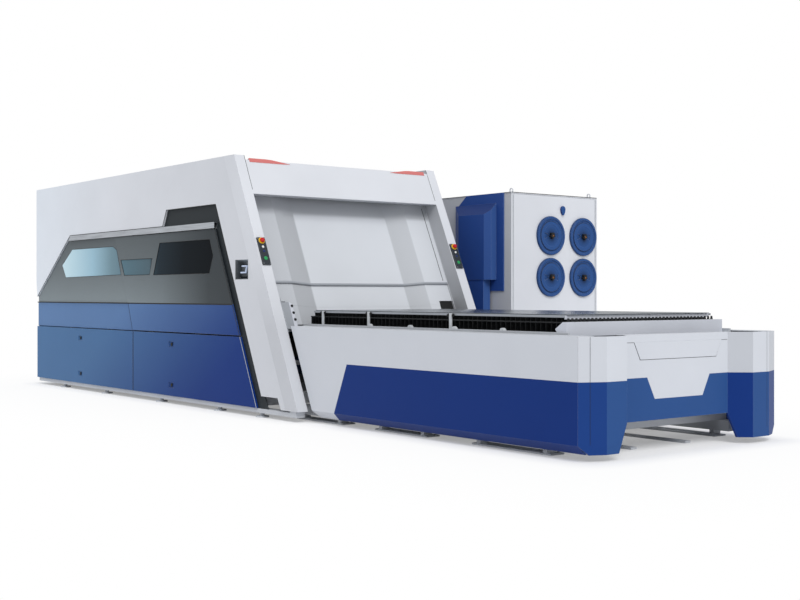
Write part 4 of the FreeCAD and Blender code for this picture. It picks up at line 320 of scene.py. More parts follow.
@material
def portal_powder_coat(look, colours):
    """The same coat on the portal, with painted shade: bright on its leaning face, grey inside the posts and at
    their feet.
    """
    # Painted shade: darker towards the feet, and darker still on the inner faces of the posts.
    up = look.gradient(at(0, 0, 0.75), at(0, 0, 1.35))
    outside = look.node("ValToRGB", (up,), stops=tones(colours.white_coat, {0.0: 0.84, 1.0: 1.01}))
    inside = look.node("ValToRGB", (up,), stops=tones(colours.white_coat, {0.0: 0.43, 1.0: 0.66}))
    turned = look.node("SeparateXYZ", (look.normal,), "Y")
    outwards = look.node("Math", (look.from_centre(), turned), operation="MULTIPLY")
    inner_face_shade_mask = look.node("Math", (outwards, -1.0), operation="MULTIPLY", use_clamp=True)
    look.coat(look.node("Mix", {0: inner_face_shade_mask, 6: outside, 7: inside}, 2, data_type="RGBA"))


@material
def table_powder_coat(look, colours):
    """The same coat on the table's covers: a shade greyer, with painted shade greyest on the faces that turn
    away.
    """
    painted_light_by_turn = tones(colours.white_table, {0.0: 1.03, 0.6: 1.0, 0.72: 0.84, 0.78: 0.88, 0.91: 0.94, 1.0: 1.04})
    # Painted light and shade by the direction a face looks.
    look.coat(look.node("ValToRGB", (look.facing(DOWN_LINE),), stops=painted_light_by_turn))


@material
def filter_powder_coat(look, colours):
    """The same coat on the filter cabinet, with painted shade: greyer on the side that stands close to the
    cabin.
    """
    white, near = colours.white_coat, look.facing(TO_OPERATOR)
    # Painted shade on the faces that look towards the operator's side.
    look.coat(look.node("Mix", {0: near, 6: white, 7: dimmed(white, 0.72)}, 2, data_type="RGBA"))


@material
def shutter_powder_coat(look, colours):
    """Pale grey powder coat on the folded front sheets, with painted shade: greyer on the bends, and a painted
    shadow under the lintel.
    """
    grey, half, step = colours.shutter_grey, 1.02, 0.004
    near_land, near_bend, far_bend, far_land = [
        (y + half) / (2 * half) for y in (-FOLD_OUTER, -FOLD_INNER, FOLD_INNER, FOLD_OUTER)]
    across = look.gradient(at(0, -half, 0), at(0, half, 0))
    painted_fold_shade = look.node("ValToRGB", (across,), stops=tones(grey, {
        0.0: 0.80, near_land: 0.82, near_land + step: 0.70, near_bend - step: 0.68, near_bend: 0.99,
        far_bend: 1.02, far_bend + step: 0.76, far_land - step: 0.80, far_land: 1.0, 1.0: 0.98}))
    up = look.gradient(at(0, 0, 0.95), at(0, 0, 2.0))
    lintel_shadow_mask = look.node("ValToRGB", (up,), stops={0.80: BLACK, 0.83: WHITE})
    painted_lintel_shadow = look.node("ValToRGB", (up,), stops=tones(grey, {0.82: 0.72, 1.0: 0.66}))
    base = look.node("Mix", {0: lintel_shadow_mask, 6: painted_fold_shade, 7: painted_lintel_shadow}, 2, data_type="RGBA")
    look.coat(base, roughness=0.42)


@material
def blue_side_powder_coat(look, colours):
    """Blue powder coat with a painted reflection: light at the rear where it mirrors the sky, deep towards the
    front and the foot, and a paler painted sheen on the band.
    """
    fall = Vector((0.26, 0.0, -0.4))
    start = at(-0.25 / fall.x, 0.0, 0.0)
    along = look.gradient(start, start + fall * (1.4 / fall.length_squared))
    reflection_fade = look.node("ValToRGB", (along,), stops=tones(WHITE, {
        0.0: 0.0, 0.357: 0.08, 0.557: 0.42, 0.664: 0.6, 0.771: 0.8, 0.893: 0.97, 1.0: 1.0}))
    band = look.gradient(at(0, 0, PANEL_TOP + 0.003), at(0, 0, PANEL_TOP + 0.005))
    # Painted sheen: the band above the lower panels is paler than the panels at the lit end.
    light = look.node("Mix", {0: band, 6: colours.blue_light, 7: colours.blue_band_sheen}, 2, data_type="RGBA")
    look.coat(look.node("Mix", {0: reflection_fade, 6: light, 7: colours.blue_deep}, 2, data_type="RGBA"), shine=0.12)


@material
def blue_table_powder_coat(look, colours):
    """Deep blue powder coat of the table's skirts and towers, with a painted highlight: clearer on its end
    faces.
    """
    painted_light_by_turn = tones(WHITE, {0.72: 0.0, 0.78: 0.12, 0.91: 0.3, 1.0: 1.0})
    # Painted highlight: end faces blend towards the lit copy of the blue.
    turned = look.node("ValToRGB", (look.facing(DOWN_LINE),), stops=painted_light_by_turn)
    base = look.node("Mix", {0: turned, 6: colours.blue_table, 7: colours.blue_lit_end}, 2, data_type="RGBA")
    look.coat(base, shine=0.12)


@material
def blue_cover_powder_coat(look, colours):
    """Blue coat on the filter's pressed round covers: its grooves and its dished middle hold the shade."""
    between_hubs, hub_offset, cover_radius = at(0, 2.2705, 1.4447), Vector((0, 0.2335, 0.2090)), 0.2
    from_hub = look.beyond_box(between_hubs, hub_offset)
    across_cover = look.node("VectorMath", (from_hub, (0, 1, 1)), operation="MULTIPLY")
    radius = look.node("VectorMath", (across_cover,), "Value", operation="LENGTH")
    reach = look.node("Math", (radius, cover_radius), operation="DIVIDE")
    rings = look.node("ValToRGB", (reach,), stops=tones(colours.blue_lit_end, {
        0.0: 0.45, 0.22: 0.6, 0.36: 0.8, 0.55: 1, 0.70: 1, 0.725: 0.45, 0.755: 0.45, 0.78: 1, 0.93: 1,
        0.97: 0.65}))
    look.coat(rings, shine=0.15)


@material
def dark_door_coat(look, colours):
    """Dark satin coat of the door zone, with painted shade: darkest at its top and towards the front."""
    down = look.gradient(at(0, 0, 1.72), at(0, 0, 0.98))
    painted_top_shade = look.node("ValToRGB", (down,), stops=tones(colours.door_light, {0.0: 0.45, 0.5: 0.62, 1.0: 1.0}))
    along = look.gradient(at(2.4, 0, 0), at(4.9, 0, 0))
    front_shade_mask = look.node("ValToRGB", (along,), stops=tones(WHITE, {0.0: 0.0, 0.35: 0.22, 0.72: 0.92, 1.0: 1.0}))
    look.coat(look.node("Mix", {0: front_shade_mask, 6: painted_top_shade, 7: colours.door_dark}, 2, data_type="RGBA"), shine=0.2)


@material
def charcoal_coat(look, colours):
    """Charcoal satin coat of the surround: darker than the leaves that hang before it."""
    look.coat(dimmed(colours.door_dark, 0.75), shine=0.15)


@material
def grey_frame_paint(look, colours):
    """Grey workshop paint on welded frames: a thicker peel, and paler on its upper faces."""
    grey, top = colours.frame_grey, look.facing(UPRIGHT)
    paler_on_top = look.node("Mix", {0: top, 6: grey, 7: dimmed(grey, 1.25)}, 2, data_type="RGBA")
    look.coat(paler_on_top, roughness=0.5, speckle=0.08, peel_mm=4)


@material
def ribbed_lamp_lens(look, colours):
    """Ribbed polycarbonate lens, lit softly from inside."""
    ribs = look.node("TexWave", {"Vector": look.spot, "Scale": 14.0}, "Fac", bands_direction="Y")
    fill(look.surface, {
        "Base Color": colours.lamp_red,
        "Roughness": 0.2,
        "Emission Color": colours.lamp_red,
        "Emission Strength": 0.05,
        "Normal": look.node("Bump", {"Height": ribs, "Strength": 0.2, "Distance": 1 * MM}),
    })


@material
def control_plate_coat(look, colours):
    """Dark grey coat on the control plates; the collars that stand proud of them are yellow plastic."""
    plate_face = on_front(0.0148, 0, 0).dot(LEAN_OUT)
    out = look.node("VectorMath", (look.spot, LEAN_OUT), "Value", operation="DOT_PRODUCT")
    proud = look.node("Math", (out, plate_face), operation="GREATER_THAN")
    base = look.node("Mix", {0: proud, 6: linear("#34393E"), 7: colours.collar_yellow}, 2, data_type="RGBA")
    look.coat(base, roughness=0.4)


@material
def blue_hood_powder_coat(look, colours):
    """Blue powder coat on the filter's hood and duct, with painted light and shade: clearer on the bevel that
    looks down the line, darker on faces that look up.
    """
    # Painted light and shade by the direction each face looks.
    end, top = look.facing(DOWN_LINE), look.facing(UPRIGHT)
    front = look.node("Mix", {0: end, 6: linear("#26478C"), 7: linear("#3B5B97")}, 2, data_type="RGBA")
    look.coat(look.node("Mix", {0: top, 6: front, 7: linear("#10285F")}, 2, data_type="RGBA"), shine=0.15)


@material
def light_grey_coat(look, colours):
    """Light grey powder coat of the pallet's end apron and small sheets: even, with little gloss."""
    look.coat(linear("#D3D6DE"), speckle=0.06)


@material
def ridge_coat(look, colours):
    """Mid grey powder coat of the shutter's bead, the guard's wing and the pallet's side rails."""
    look.coat(linear("#A2A6AC"))


@material
def black_pallet_paint(look, colours):
    """Black paint on the pallet's rails, and light grey on the folded brackets along its sides."""
    aside = look.node("Math", (look.from_centre(),), operation="ABSOLUTE")
    bracket = look.node("Math", (aside, BRACKET_FACE), operation="GREATER_THAN")
    height = look.node("SeparateXYZ", (look.spot,), "Z")
    high = look.node("Math", (height, PALLET_STRIP_FOOT), operation="GREATER_THAN")
    outside = look.node("Math", (aside, PALLET_SIDE - 0.008), operation="GREATER_THAN")
    strip = look.node("Math", (high, outside), operation="MULTIPLY")
    light = look.node("Math", (bracket, strip), operation="MAXIMUM")
    base = look.node("Mix", {0: light, 6: linear("#141618"), 7: linear("#CDD0D3")}, 2, data_type="RGBA")
    look.coat(base, roughness=0.5, speckle=0.2, peel_mm=4, rubbed=0.2)


@material
def display_tray_plastic(look, colours):
    """Moulded tray of the side display, with painted shade and highlight: dark in its corner, paler towards the
    rim that catches the light.
    """
    # Painted shade in the corner, rising to a painted highlight at the rim.
    up = look.gradient(at(4.72, -1.1, 1.2), at(4.86, -1.1, 1.36))
    base = look.node("ValToRGB", (up,), stops={0.0: "#2B2F34", 0.5: "#3A4046", 1.0: "#8A9299"})
    look.coat(base, roughness=0.3)


def brushed(look, low, high, grain_mm, roughness):
    """Metal with a grain along the machine: streaks, drawn coarse enough to show, that catch the light."""
    grain_size, drawn_out = 1 / (grain_mm * MM), 60
    stretch = (grain_size / drawn_out, grain_size, grain_size)
    streaks = look.node("VectorMath", (look.spot, stretch), operation="MULTIPLY")
    grain = look.node("TexNoise", {"Vector": streaks, "Scale": 1.0, "Detail": 3.0})
    fill(look.surface, {
        "Base Color": look.node("ValToRGB", (grain,), stops={0.3: low, 0.7: high}),
        "Metallic": 1.0,
        "Roughness": look.node("MapRange", {"Value": grain, "To Min": roughness - 0.08,
                                            "To Max": roughness + 0.1}),
        "Normal": look.node("Bump", {"Height": grain, "Strength": 0.15, "Distance": 0.5 * MM}),
    })


@material
def anodised_aluminium(look, colours):
    """Anodised extrusion: pale, with the fine lines of the die along it."""
    brushed(look, "#B4B8BD", "#DDE1E6", 6, 0.42)


@material
def ground_steel(look, colours):
    """Ground steel rails and shafts: bright, with grinding marks along them."""
    brushed(look, "#8B8F93", "#B4B8BC", 5, 0.3)


@material
def cold_rolled_sheet(look, colours):
    """Cold-rolled sheet of the stock on the pallet: nearly a mirror, with long rolling marks."""
    brushed(look, "#5B6166", "#7C8388", 14, 0.24)


@material
def scorched_slat_steel(look, colours):
    """Laser-cut support slats: dark mill scale, scorched and spattered along their tips."""
    spatter = look.node("TexNoise", {"Vector": look.spot, "Scale": 60.0, "Detail": 5.0})
    scale = {0.35: "#101214", 0.6: "#1C1E20", 0.8: "#3A322C"}
    fill(look.surface, {
        "Base Color": look.node("ValToRGB", (spatter,), stops=scale),
        "Metallic": 0.5,
        "Roughness": 0.6,
        "Normal": look.node("Bump", {"Height": spatter, "Strength": 0.4, "Distance": 1 * MM}),
    })


@material
def polished_brass(look, colours):
    """Brass of the small caps on the knobs: warm, with turning rings."""
    rings = look.node("TexWave", {"Vector": look.spot, "Scale": 150.0}, "Fac", bands_direction="Y")
    base = look.node("ValToRGB", (rings,), stops={0.0: "#8A5238", 1.0: "#B07A4C"})
    fill(look.surface, {"Base Color": base, "Metallic": 1.0, "Roughness": 0.25})


@material
def laser_safety_glazing(look, colours):
    """Laser safety glazing: a smooth dark pane, pale blue at the rear where it mirrors the sky."""
    along = look.gradient(at(0.75, 0, 1.4), at(4.25, 0, 1.4))
    mirrored = look.node("ValToRGB", (along,), stops={
        0.0: "#D2EAF2", 0.08: "#C4E0EA", 0.24: "#A3C6D6", 0.38: "#78949F", 0.445: "#6E8894", 0.46: "#5D7A86",
        0.64: "#566A73", 0.66: "#31424A", 0.70: "#253038", 0.85: "#151B20", 1.0: "#101418"})
    fill(look.surface, {"Base Color": mirrored, "Roughness": 0.1, "IOR": 1.52, "Specular IOR Level": 0.03})


def moulded_plastic(name, value, roughness=0.35):
    """Moulded plastic: one colour through, with a spark-eroded grain drawn coarse enough to show."""
    look, grit = Look(name), 1.2 * MM
    grain = look.node("TexNoise", {"Vector": look.spot, "Scale": 1 / grit, "Detail": 2.0})
    fill(look.surface, {
        "Base Color": value,
        "Roughness": look.node("MapRange", {"Value": grain, "To Min": roughness - 0.05,
                                            "To Max": roughness + 0.08}),
        "Normal": look.node("Bump", {"Height": grain, "Strength": 0.08, "Distance": 0.3 * MM}),
    })


NODE_FINISHES = {
    "white_powder_coat": ["operator_side_cover", "far_side_cover", "rear_cover", "roof_cover"],
    "portal_powder_coat": ["front_portal"],
    "table_powder_coat": ["table_side_covers", "end_cover"],
    "filter_powder_coat": ["filter_housing"],
    "shutter_powder_coat": ["shutter_top_panel", "shutter_door"],
    "blue_side_powder_coat": ["fixed_blue_panels", "door_apron", "lower_panel_left", "lower_panel_right"],
    "blue_table_powder_coat": ["table_skirts", "filter_latch"],
    "blue_cover_powder_coat": ["filter_covers"],
    "blue_hood_powder_coat": ["filter_hood", "suction_duct"],
    "light_grey_coat": ["pallet_apron"],
    "dark_door_coat": ["sliding_door", "fixed_side_leaf"],
    "charcoal_coat": ["door_surround"],
    "grey_frame_paint": ["machine_bed", "levelling_feet", "table_frame", "laser_source"],
    "anodised_aluminium": ["door_track", "gantry_beam", "entry_guard"],
    "ground_steel": ["guide_rails", "cutting_head", "drive_shaft"],
    "cold_rolled_sheet": ["metal_sheet"],
    "scorched_slat_steel": ["pallet_slats", "lower_pallet"],
    "black_pallet_paint": ["upper_pallet"],
    "laser_safety_glazing": ["fixed_window", "door_windows"],
    "ribbed_lamp_lens": ["status_lights"],
    "control_plate_coat": ["control_plates"],
    "display_tray_plastic": ["side_display"],
    "black_moulded_plastic": [
        "head_carriage", "drive_motor", *(f"filter_knob_{number}" for number in range(1, 5)),
        *(f"latch_{side}_{level}" for side in ("left", "right") for level in ("upper", "lower"))],
    **{f"{hue}_button_plastic": [f"near_{button}_button", f"far_{button}_button"] for hue, button in (
        ("red", "stop"), ("white", "white"), ("blue", "blue"), ("green", "green"))},
}


# ---------------- mesh making

def new_object(name, data):
    """An object in the scene."""
    item = bpy.data.objects.new(name, data)
    bpy.context.scene.collection.objects.link(item)
    return item


def new_piece(name, mesh_maker, finish, body="machine"):
    """A mesh piece that rides on a body of the machine."""
    mesh = bpy.data.meshes.new(name)
    work = bmesh.new()
    mesh_maker(work)
    bmesh.ops.recalc_face_normals(work, faces=work.faces)
    work.to_mesh(mesh)
    work.free()
    piece = new_object(name, mesh)
    mesh.materials.append(bpy.data.materials[finish])
    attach(piece, body)


def skin(work, loops, closed=False):
    """Faces between loops of as many points each, with a cap at both ends unless they close into a ring."""
    rings = [[work.verts.new(point) for point in loop] for loop in loops]
    if not closed:
        work.faces.new(rings[0])
        work.faces.new(rings[-1])
    for ring, after in zip(rings, rings[1:] + rings[:1] if closed else rings[1:]):
        for i, corner in enumerate(ring):
            j = (i + 1) % len(ring)
            work.faces.new([corner, ring[j], after[j], after[i]])


def plates(name, outlines, push, finish, body="machine"):
    """A piece of plates, each an outline of points pushed along a vector."""
    def build(work):
        for outline in outlines:
            skin(work, [outline, [point + push for point in outline]])

    new_piece(name, build, finish, body)


def swept(work, path, section):
    """A bar whose section, one vector per point, is carried along a path of points."""
    skin(work, [[point + offset for offset in section] for point in path])


def frame_strip(work, outline, width, push):
    """A closed strip that runs inside an outline, as a gasket does."""
    centre = sum(outline, Vector()) / len(outline)
    normal = push.normalized()
    inner = []
    for i, corner in enumerate(outline):
        before = (corner - outline[i - 1]).normalized()
        after = (outline[(i + 1) % len(outline)] - corner).normalized()
        in_before, in_after = normal.cross(before), normal.cross(after)
        if in_before.dot(centre - corner) < 0 and in_after.dot(centre - corner) < 0:
            in_before, in_after = -in_before, -in_after
        middle = (in_before + in_after).normalized()
        inner.append(corner + middle * (width / max(0.3, middle.dot(in_before))))
    skin(work, [outline, [p + push for p in outline], [p + push for p in inner], inner], closed=True)


def turned_head(work, centre, axis, profile, sides):
    """A small turned or hexagonal head from radius and height pairs along an axis."""
    spin = axis.to_track_quat("Z", "Y").to_matrix()
    turns = [2 * math.pi * i / sides for i in range(sides)]
    skin(work, [[centre + spin @ Vector((radius * math.cos(turn), radius * math.sin(turn), height))
                 for turn in turns] for radius, height in profile])


def heads(name, places, axis, profiles, finish="ground_steel", body="machine"):
    """Heads that face one way: each is turned from radius and height pairs, for each number of sides."""
    def build(work):
        for centre in places:
            for sides, profile in profiles.items():
                turned_head(work, centre, axis, profile, sides)

    new_piece(name, build, finish, body)


def hex_bolts(name, places, axis, width, finish="ground_steel", body="machine"):
    """Hexagonal bolt heads on washers."""
    radius, washer = width / math.sqrt(3), 1.6 * MM
    heads(name, places, axis, {
        20: [(radius * 1.35, 0), (radius * 1.35, washer)],
        6: [(radius, washer), (radius, width * 0.52), (radius * 0.86, width * 0.6)]}, finish, body)


def socket_screws(name, places, axis, width):
    """Low round screw heads with a recess."""
    heads(name, places, axis, {12: [
        (width / 2, 0), (width / 2, width * 0.22), (width * 0.4, width * 0.32), (width * 0.24, width * 0.32),
        (width * 0.2, width * 0.12)]})


def seam_lines(name, lines, width, out, body="machine"):
    """Dark joint lines and painted shadow lines: thin strips between pairs of points, on a surface that looks
    along a vector.
    """
    strips = []
    for start, end in lines:
        aside = out.cross((end - start).normalized()) * (width / 2)
        strips.append([start - aside, start + aside, end + aside, end - aside])
    plates(name, strips, out.normalized() * 0.6 * MM, "black_seal_rubber", body)


# ---------------- pieces

class CUTTER_OT_finishes(bpy.types.Operator):
    """Give every CAD piece of the machine its finish"""

    bl_idname = "cutter.finishes"
    bl_label = "Finishes"

    def execute(self, context):
        colours = context.scene.cutter_colours
        for maker in MAKERS:
            maker(Look(maker.__name__), colours)
        moulded_plastic("red_button_plastic", colours.button_red)
        moulded_plastic("green_button_plastic", colours.button_green)
        moulded_plastic("white_button_plastic", linear("#E6E6E4"))
        moulded_plastic("blue_button_plastic", linear("#152A63"))
        moulded_plastic("pale_blue_handle", linear("#CBD8F2"), 0.3)
        moulded_plastic("black_moulded_plastic", linear("#0D0E10"), 0.6)
        moulded_plastic("black_seal_rubber", linear("#0E0F10"), 0.6)
        for finish, names in NODE_FINISHES.items():
            for name in names:
                mesh = NODES[name].data
                mesh.materials.clear()
                mesh.materials.append(bpy.data.materials[finish])
        return {"FINISHED"}


class CUTTER_OT_window_gaskets(bpy.types.Operator):
    """Black rubber seals round the panes of the door zone"""

    bl_idname = "cutter.window_gaskets"
    bl_label = "Window gaskets"

    def execute(self, context):
        width = context.scene.cutter_sizes.gasket_width
        leaf, pane = CABIN_SIDE + LEAF_DEPTH, CABIN_SIDE + PANE_DEPTH
        for name, outline, face, proud, body in (
                ("fixed_window_gasket", FIXED_WINDOW, leaf, 1 * MM, "machine"),
                ("small_window_gasket", SMALL_WINDOW, pane, 4 * MM, "side_door"),
                ("large_window_gasket", LARGE_WINDOW, pane, 4 * MM, "side_door")):
            points = side_points(outline, face)
            new_piece(name, lambda work: frame_strip(work, points, width, TO_OPERATOR * proud),
                      "black_seal_rubber", body)
        return {"FINISHED"}


class CUTTER_OT_edge_trims(bpy.types.Operator):
    """Strips along the front edges of the door and of the lower panel, and the seal between the two panels"""

    bl_idname = "cutter.edge_trims"
    bl_label = "Edge trims"

    def execute(self, context):
        width = context.scene.cutter_sizes.trim_width
        for name, low, high, finish, body in (
                ("door_edge_trim", DOOR_FOOT, DOOR_TOP, "black_seal_rubber", "side_door"),
                ("panel_edge_trim", PANEL_FOOT, PANEL_TOP, "anodised_aluminium", "right_panel")):
            foot, top = door_front(low), door_front(high)
            corners = [(foot - width, low), (foot, low), (top, high), (top - width, high)]
            plates(name, [side_points(corners, CABIN_SIDE)], TO_OPERATOR * 1.5 * MM, finish, body)
        seal_end = PANEL_JOINT + 0.0098
        joint = rectangle(lambda x, z: at(x, CABIN_SIDE, z), (PANEL_JOINT, PANEL_FOOT), (seal_end, PANEL_TOP))
        plates("panel_joint_seal", [joint], TO_OPERATOR * MM, "black_seal_rubber", "right_panel")
        return {"FINISHED"}


class CUTTER_OT_shutter_ridge(bpy.types.Operator):
    """Rounded bead along the foot of the upper front sheet, where the lifting sheet comes out below it"""

    bl_idname = "cutter.shutter_ridge"
    bl_label = "Shutter ridge"

    def execute(self, context):
        width = context.scene.cutter_sizes.ridge_width
        land, centre, up, half, corner = -0.168, -0.213, 1.372, 1.04, 0.002
        outer, inner = FOLD_OUTER + corner, FOLD_INNER + corner
        path = [on_front(out, y, up) for out, y in (
            (land, -half), (land, -outer), (centre, -inner), (centre, inner), (land, outer), (land, half))]
        turns = [math.pi * i / 8 for i in range(9)]
        section = [LEAN_UP * (-math.cos(turn) * width / 2) + LEAN_OUT * (math.sin(turn) * width * 0.42)
                   for turn in turns]
        new_piece("shutter_ridge", lambda work: swept(work, path, section), "ridge_coat")
        return {"FINISHED"}


class CUTTER_OT_mouth_seals(bpy.types.Operator):
    """Plates beside the pallets' mouth, the bristle strip under the shutter and the guard's bolted wing"""

    bl_idname = "cutter.mouth_seals"
    bl_label = "Mouth seals"

    def execute(self, context):
        foot = 0.905
        self.mouth_plates(foot)
        self.bristle_strip()
        self.guard_wing(foot, context.scene.cutter_sizes.bolt_size)
        return {"FINISHED"}

    def mouth_plates(self, foot):
        out, inner, outer, top = -0.19, 0.862, 1.045, 1.24
        for name, side, finish in (("near_mouth_plate", -1, "shutter_powder_coat"),
                                   ("far_mouth_plate", 1, "black_seal_rubber")):
            outline = rectangle(lambda y, up: on_front(out, y * side, up), (inner, foot), (outer, top))
            plates(name, [outline], LEAN_OUT * 4 * MM, finish)

    def bristle_strip(self):
        root, tip, half, land, centre = 1.15, 0.8, 0.88, -0.1785, -0.2235
        aside = DOWN_LINE * 2 * MM
        loops = []
        for out, y in ((land, -half), (land, -FOLD_OUTER), (centre, -FOLD_INNER), (centre, FOLD_INNER),
                       (land, FOLD_OUTER), (land, half)):
            top = on_front(out, y, root)
            drop = top.z - tip
            end = top + DOWN_LINE * (drop * math.tan(LEAN)) - UPRIGHT * drop
            loops.append((top - aside, top + aside, end + aside, end - aside))
        new_piece("shutter_bristle_strip", lambda work: skin(work, loops), "shutter_powder_coat", "shutter")

    def guard_wing(self, foot, bolt_size):
        wing_out, edge_out, top, near, far, edge = -0.128, -0.122, 1.16, -0.985, -0.885, -0.855
        wing = rectangle(lambda y, up: on_front(wing_out, y, up), (near, foot), (far, top))
        plates("guard_wing", [wing], LEAN_OUT * -4 * MM, "ridge_coat")
        turned = [on_front(edge_out, y, up) for y, up in (
            (far, foot), (edge + 0.006, foot), (edge, top - 0.02), (far, top))]
        plates("guard_wing_edge", [turned], LEAN_OUT * -10 * MM, "light_grey_coat")
        bolts = [on_front(edge_out, edge - 0.006, top - 0.04 - drop) for drop in (0.0, 0.065, 0.13)]
        hex_bolts("guard_wing_bolts", bolts, LEAN_OUT, bolt_size, "black_moulded_plastic")


class CUTTER_OT_pallet_fittings(bpy.types.Operator):
    """Light backing behind the end comb of the pallet outside, its side rails and its brackets' toes"""

    bl_idname = "cutter.pallet_fittings"
    bl_label = "Pallet fittings"

    def execute(self, context):
        body = "upper_exchange_pallet"
        end, half, low, high = 8.352, 0.765, 0.896, 0.9235
        backing = rectangle(lambda y, z: at(end, y, z), (-half, low), (half, high))
        plates("comb_backing", [backing], DOWN_LINE * 4 * MM, "light_grey_coat", body)

        near, far, height, behind = 0.799, 0.842, 0.7875, 0.012
        toe = [(behind, near), (behind, far), (0.085, far), (0.06, near)]
        toes = [[at(station - x, y * side, height) for x, y in toe]
                for station in BRACKET_STATIONS for side in SIDES]
        plates("bracket_toes", toes, UPRIGHT * 7 * MM, "light_grey_coat", body)
        rails = [rectangle(lambda x, z: at(x, y, z), (5.385, 0.908), (8.362, 0.924))
                 for y in (-PALLET_SIDE, PALLET_SIDE + 14 * MM)]
        plates("pallet_side_rails", rails, TO_OPERATOR * 14 * MM, "ridge_coat", body)
        return {"FINISHED"}


class CUTTER_OT_seam_lines(bpy.types.Operator):
    """Dark joint lines of the portal, the door zone, the table's end and the filter's roof, and a painted
    shadow along the side cover's cut-out
    """

    bl_idname = "cutter.seam_lines"
    bl_label = "Seam lines"

    def execute(self, context):
        width = context.scene.cutter_sizes.seam_width
        for draw_lines in (self.portal_lines, self.door_lines, self.table_lines, self.filter_lines):
            draw_lines(width)
        return {"FINISHED"}

    def portal_lines(self, width):
        for name, out, aside, low, high, share in (
                ("portal_joint_lines", 0.0002, 1.052, along_front(1.997), along_front(2.313), 1),
                ("shutter_side_gaps", -0.1678, 1.0, 1.40, 2.20, 1.5)):
            lines = [(on_front(out, aside * side, low), on_front(out, aside * side, high)) for side in SIDES]
            seam_lines(name, lines, width * share, LEAN_OUT)

    def door_lines(self, width):
        face, split_top, split_foot, foot = CABIN_SIDE - 0.0002, 2.508, 2.609, 0.702
        cut = [(0.034, 1.044), (1.006, 1.731), (3.280, 1.731), (3.361, 1.888), (4.334, 1.888), (5.123, 0.188)]
        for name, points, share, body in (
                ("leaf_sill_line", [(0.04, DOOR_SILL), (split_top, DOOR_SILL)], 3, "machine"),
                ("door_sill_line", [(split_top, DOOR_SILL), (door_front(DOOR_SILL) - 0.01, DOOR_SILL)], 3,
                 "side_door"),
                ("door_split_line", [(split_top + 0.002, DOOR_SILL), (split_foot, foot)], 1.3, "side_door"),
                # Painted shadow: a dark strip on the side cover's face along its cut-out, where shade falls.
                ("side_cover_shadow_gap", cut, 2, "machine")):
            corners = side_points(points, face)
            seam_lines(name, list(zip(corners, corners[1:])), width * share, TO_OPERATOR, body)

    def table_lines(self, width):
        near, far, low, high = (8.769, -0.9640), (8.816, 0.835), 0.11, 0.795
        slant = Vector((0.912, -0.41, 0))
        lift = slant * MM
        near_line = (at(*near, low) + lift, at(*near, high) + lift)
        seam_lines("near_tower_seam", [near_line], width * 0.5, slant)
        seam_lines("far_tower_seam", [(at(*far, low), at(*far, high))], width * 0.5, DOWN_LINE)
        face, field_foot, ear = 8.6962, 0.627, 0.744
        foot_half, ear_half, ear_end = 0.404, 0.464, 0.533
        lines = []
        for side in SIDES:
            corner = at(face, ear_half * side, ear)
            lines += [(corner, at(face, foot_half * side, field_foot)), (corner, at(face, ear_end * side, ear))]
        lines.append((at(face, -foot_half, field_foot), at(face, foot_half, field_foot)))
        seam_lines("end_field_lines", lines, width * 0.6, DOWN_LINE)

    def filter_lines(self, width):
        edge, rear, corner, hair = 2.0665, 4.1, 0.005, 0.0002
        front, near = FILTER_FRONT + hair, FILTER_NEAR - hair
        front_line = (at(front, near + corner, edge), at(front, FILTER_FAR - corner, edge))
        side_line = (at(rear, near, edge), at(front - corner, near, edge))
        seam_lines("filter_front_roof_line", [front_line], width * 1.6, DOWN_LINE)
        seam_lines("filter_side_roof_line", [side_line], width * 1.6, TO_OPERATOR)


class CUTTER_OT_filter_trims(bpy.types.Operator):
    """Corner strips of the filter's door, and the brass caps on the hubs of its four star knobs"""

    bl_idname = "cutter.filter_trims"
    bl_label = "Filter trims"

    def execute(self, context):
        inset, half, low, high = 0.026, 0.006, 0.075, 2.045
        strips = [rectangle(lambda y, z: at(FILTER_FRONT, y, z), (middle - half, low), (middle + half, high))
                  for middle in (FILTER_NEAR + inset, FILTER_FAR - inset)]
        plates("filter_corner_strips", strips, DOWN_LINE * 2.5 * MM, "anodised_aluminium")
        hub = [(0.008, -0.004), (0.008, 0.0016), (0.0065, 0.0032), (0.0035, 0.0036), (0.0025, 0.0028)]
        for number in range(1, 5):
            name = f"filter_knob_{number}"
            low_corner, high_corner = (Vector(corner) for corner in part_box(name))
            middle = (low_corner + high_corner) / 2
            middle.x = high_corner.x
            heads(f"{name}_cap", [middle], DOWN_LINE, {20: hub}, "polished_brass", f"{name}_body")
        return {"FINISHED"}


class CUTTER_OT_display_fittings(bpy.types.Operator):
    """Small screen and bent pull handle inside the side display's tray"""

    bl_idname = "cutter.display_fittings"
    bl_label = "Display fittings"

    def execute(self, context):
        floor, rim, upper, lower = CABIN_SIDE + 0.045, CABIN_SIDE + 0.014, 1.315, 1.258
        screen = side_points([(4.757, 1.236), (4.868, 1.236), (4.852, 1.33), (4.765, 1.33)], floor)
        plates("display_screen", [screen], TO_OPERATOR * 6 * MM, "laser_safety_glazing")
        path = [at(4.776, floor, upper), at(4.786, rim, upper), at(4.866, rim, upper), at(4.846, rim, lower),
                at(4.766, rim, lower), at(4.756, floor, lower)]
        turns = [math.pi * i / 4 for i in range(8)]
        section = [Vector((0.3 * math.cos(turn), math.cos(turn), math.sin(turn))) * 7.5 * MM for turn in turns]
        new_piece("display_handle", lambda work: swept(work, path, section), "pale_blue_handle")
        return {"FINISHED"}


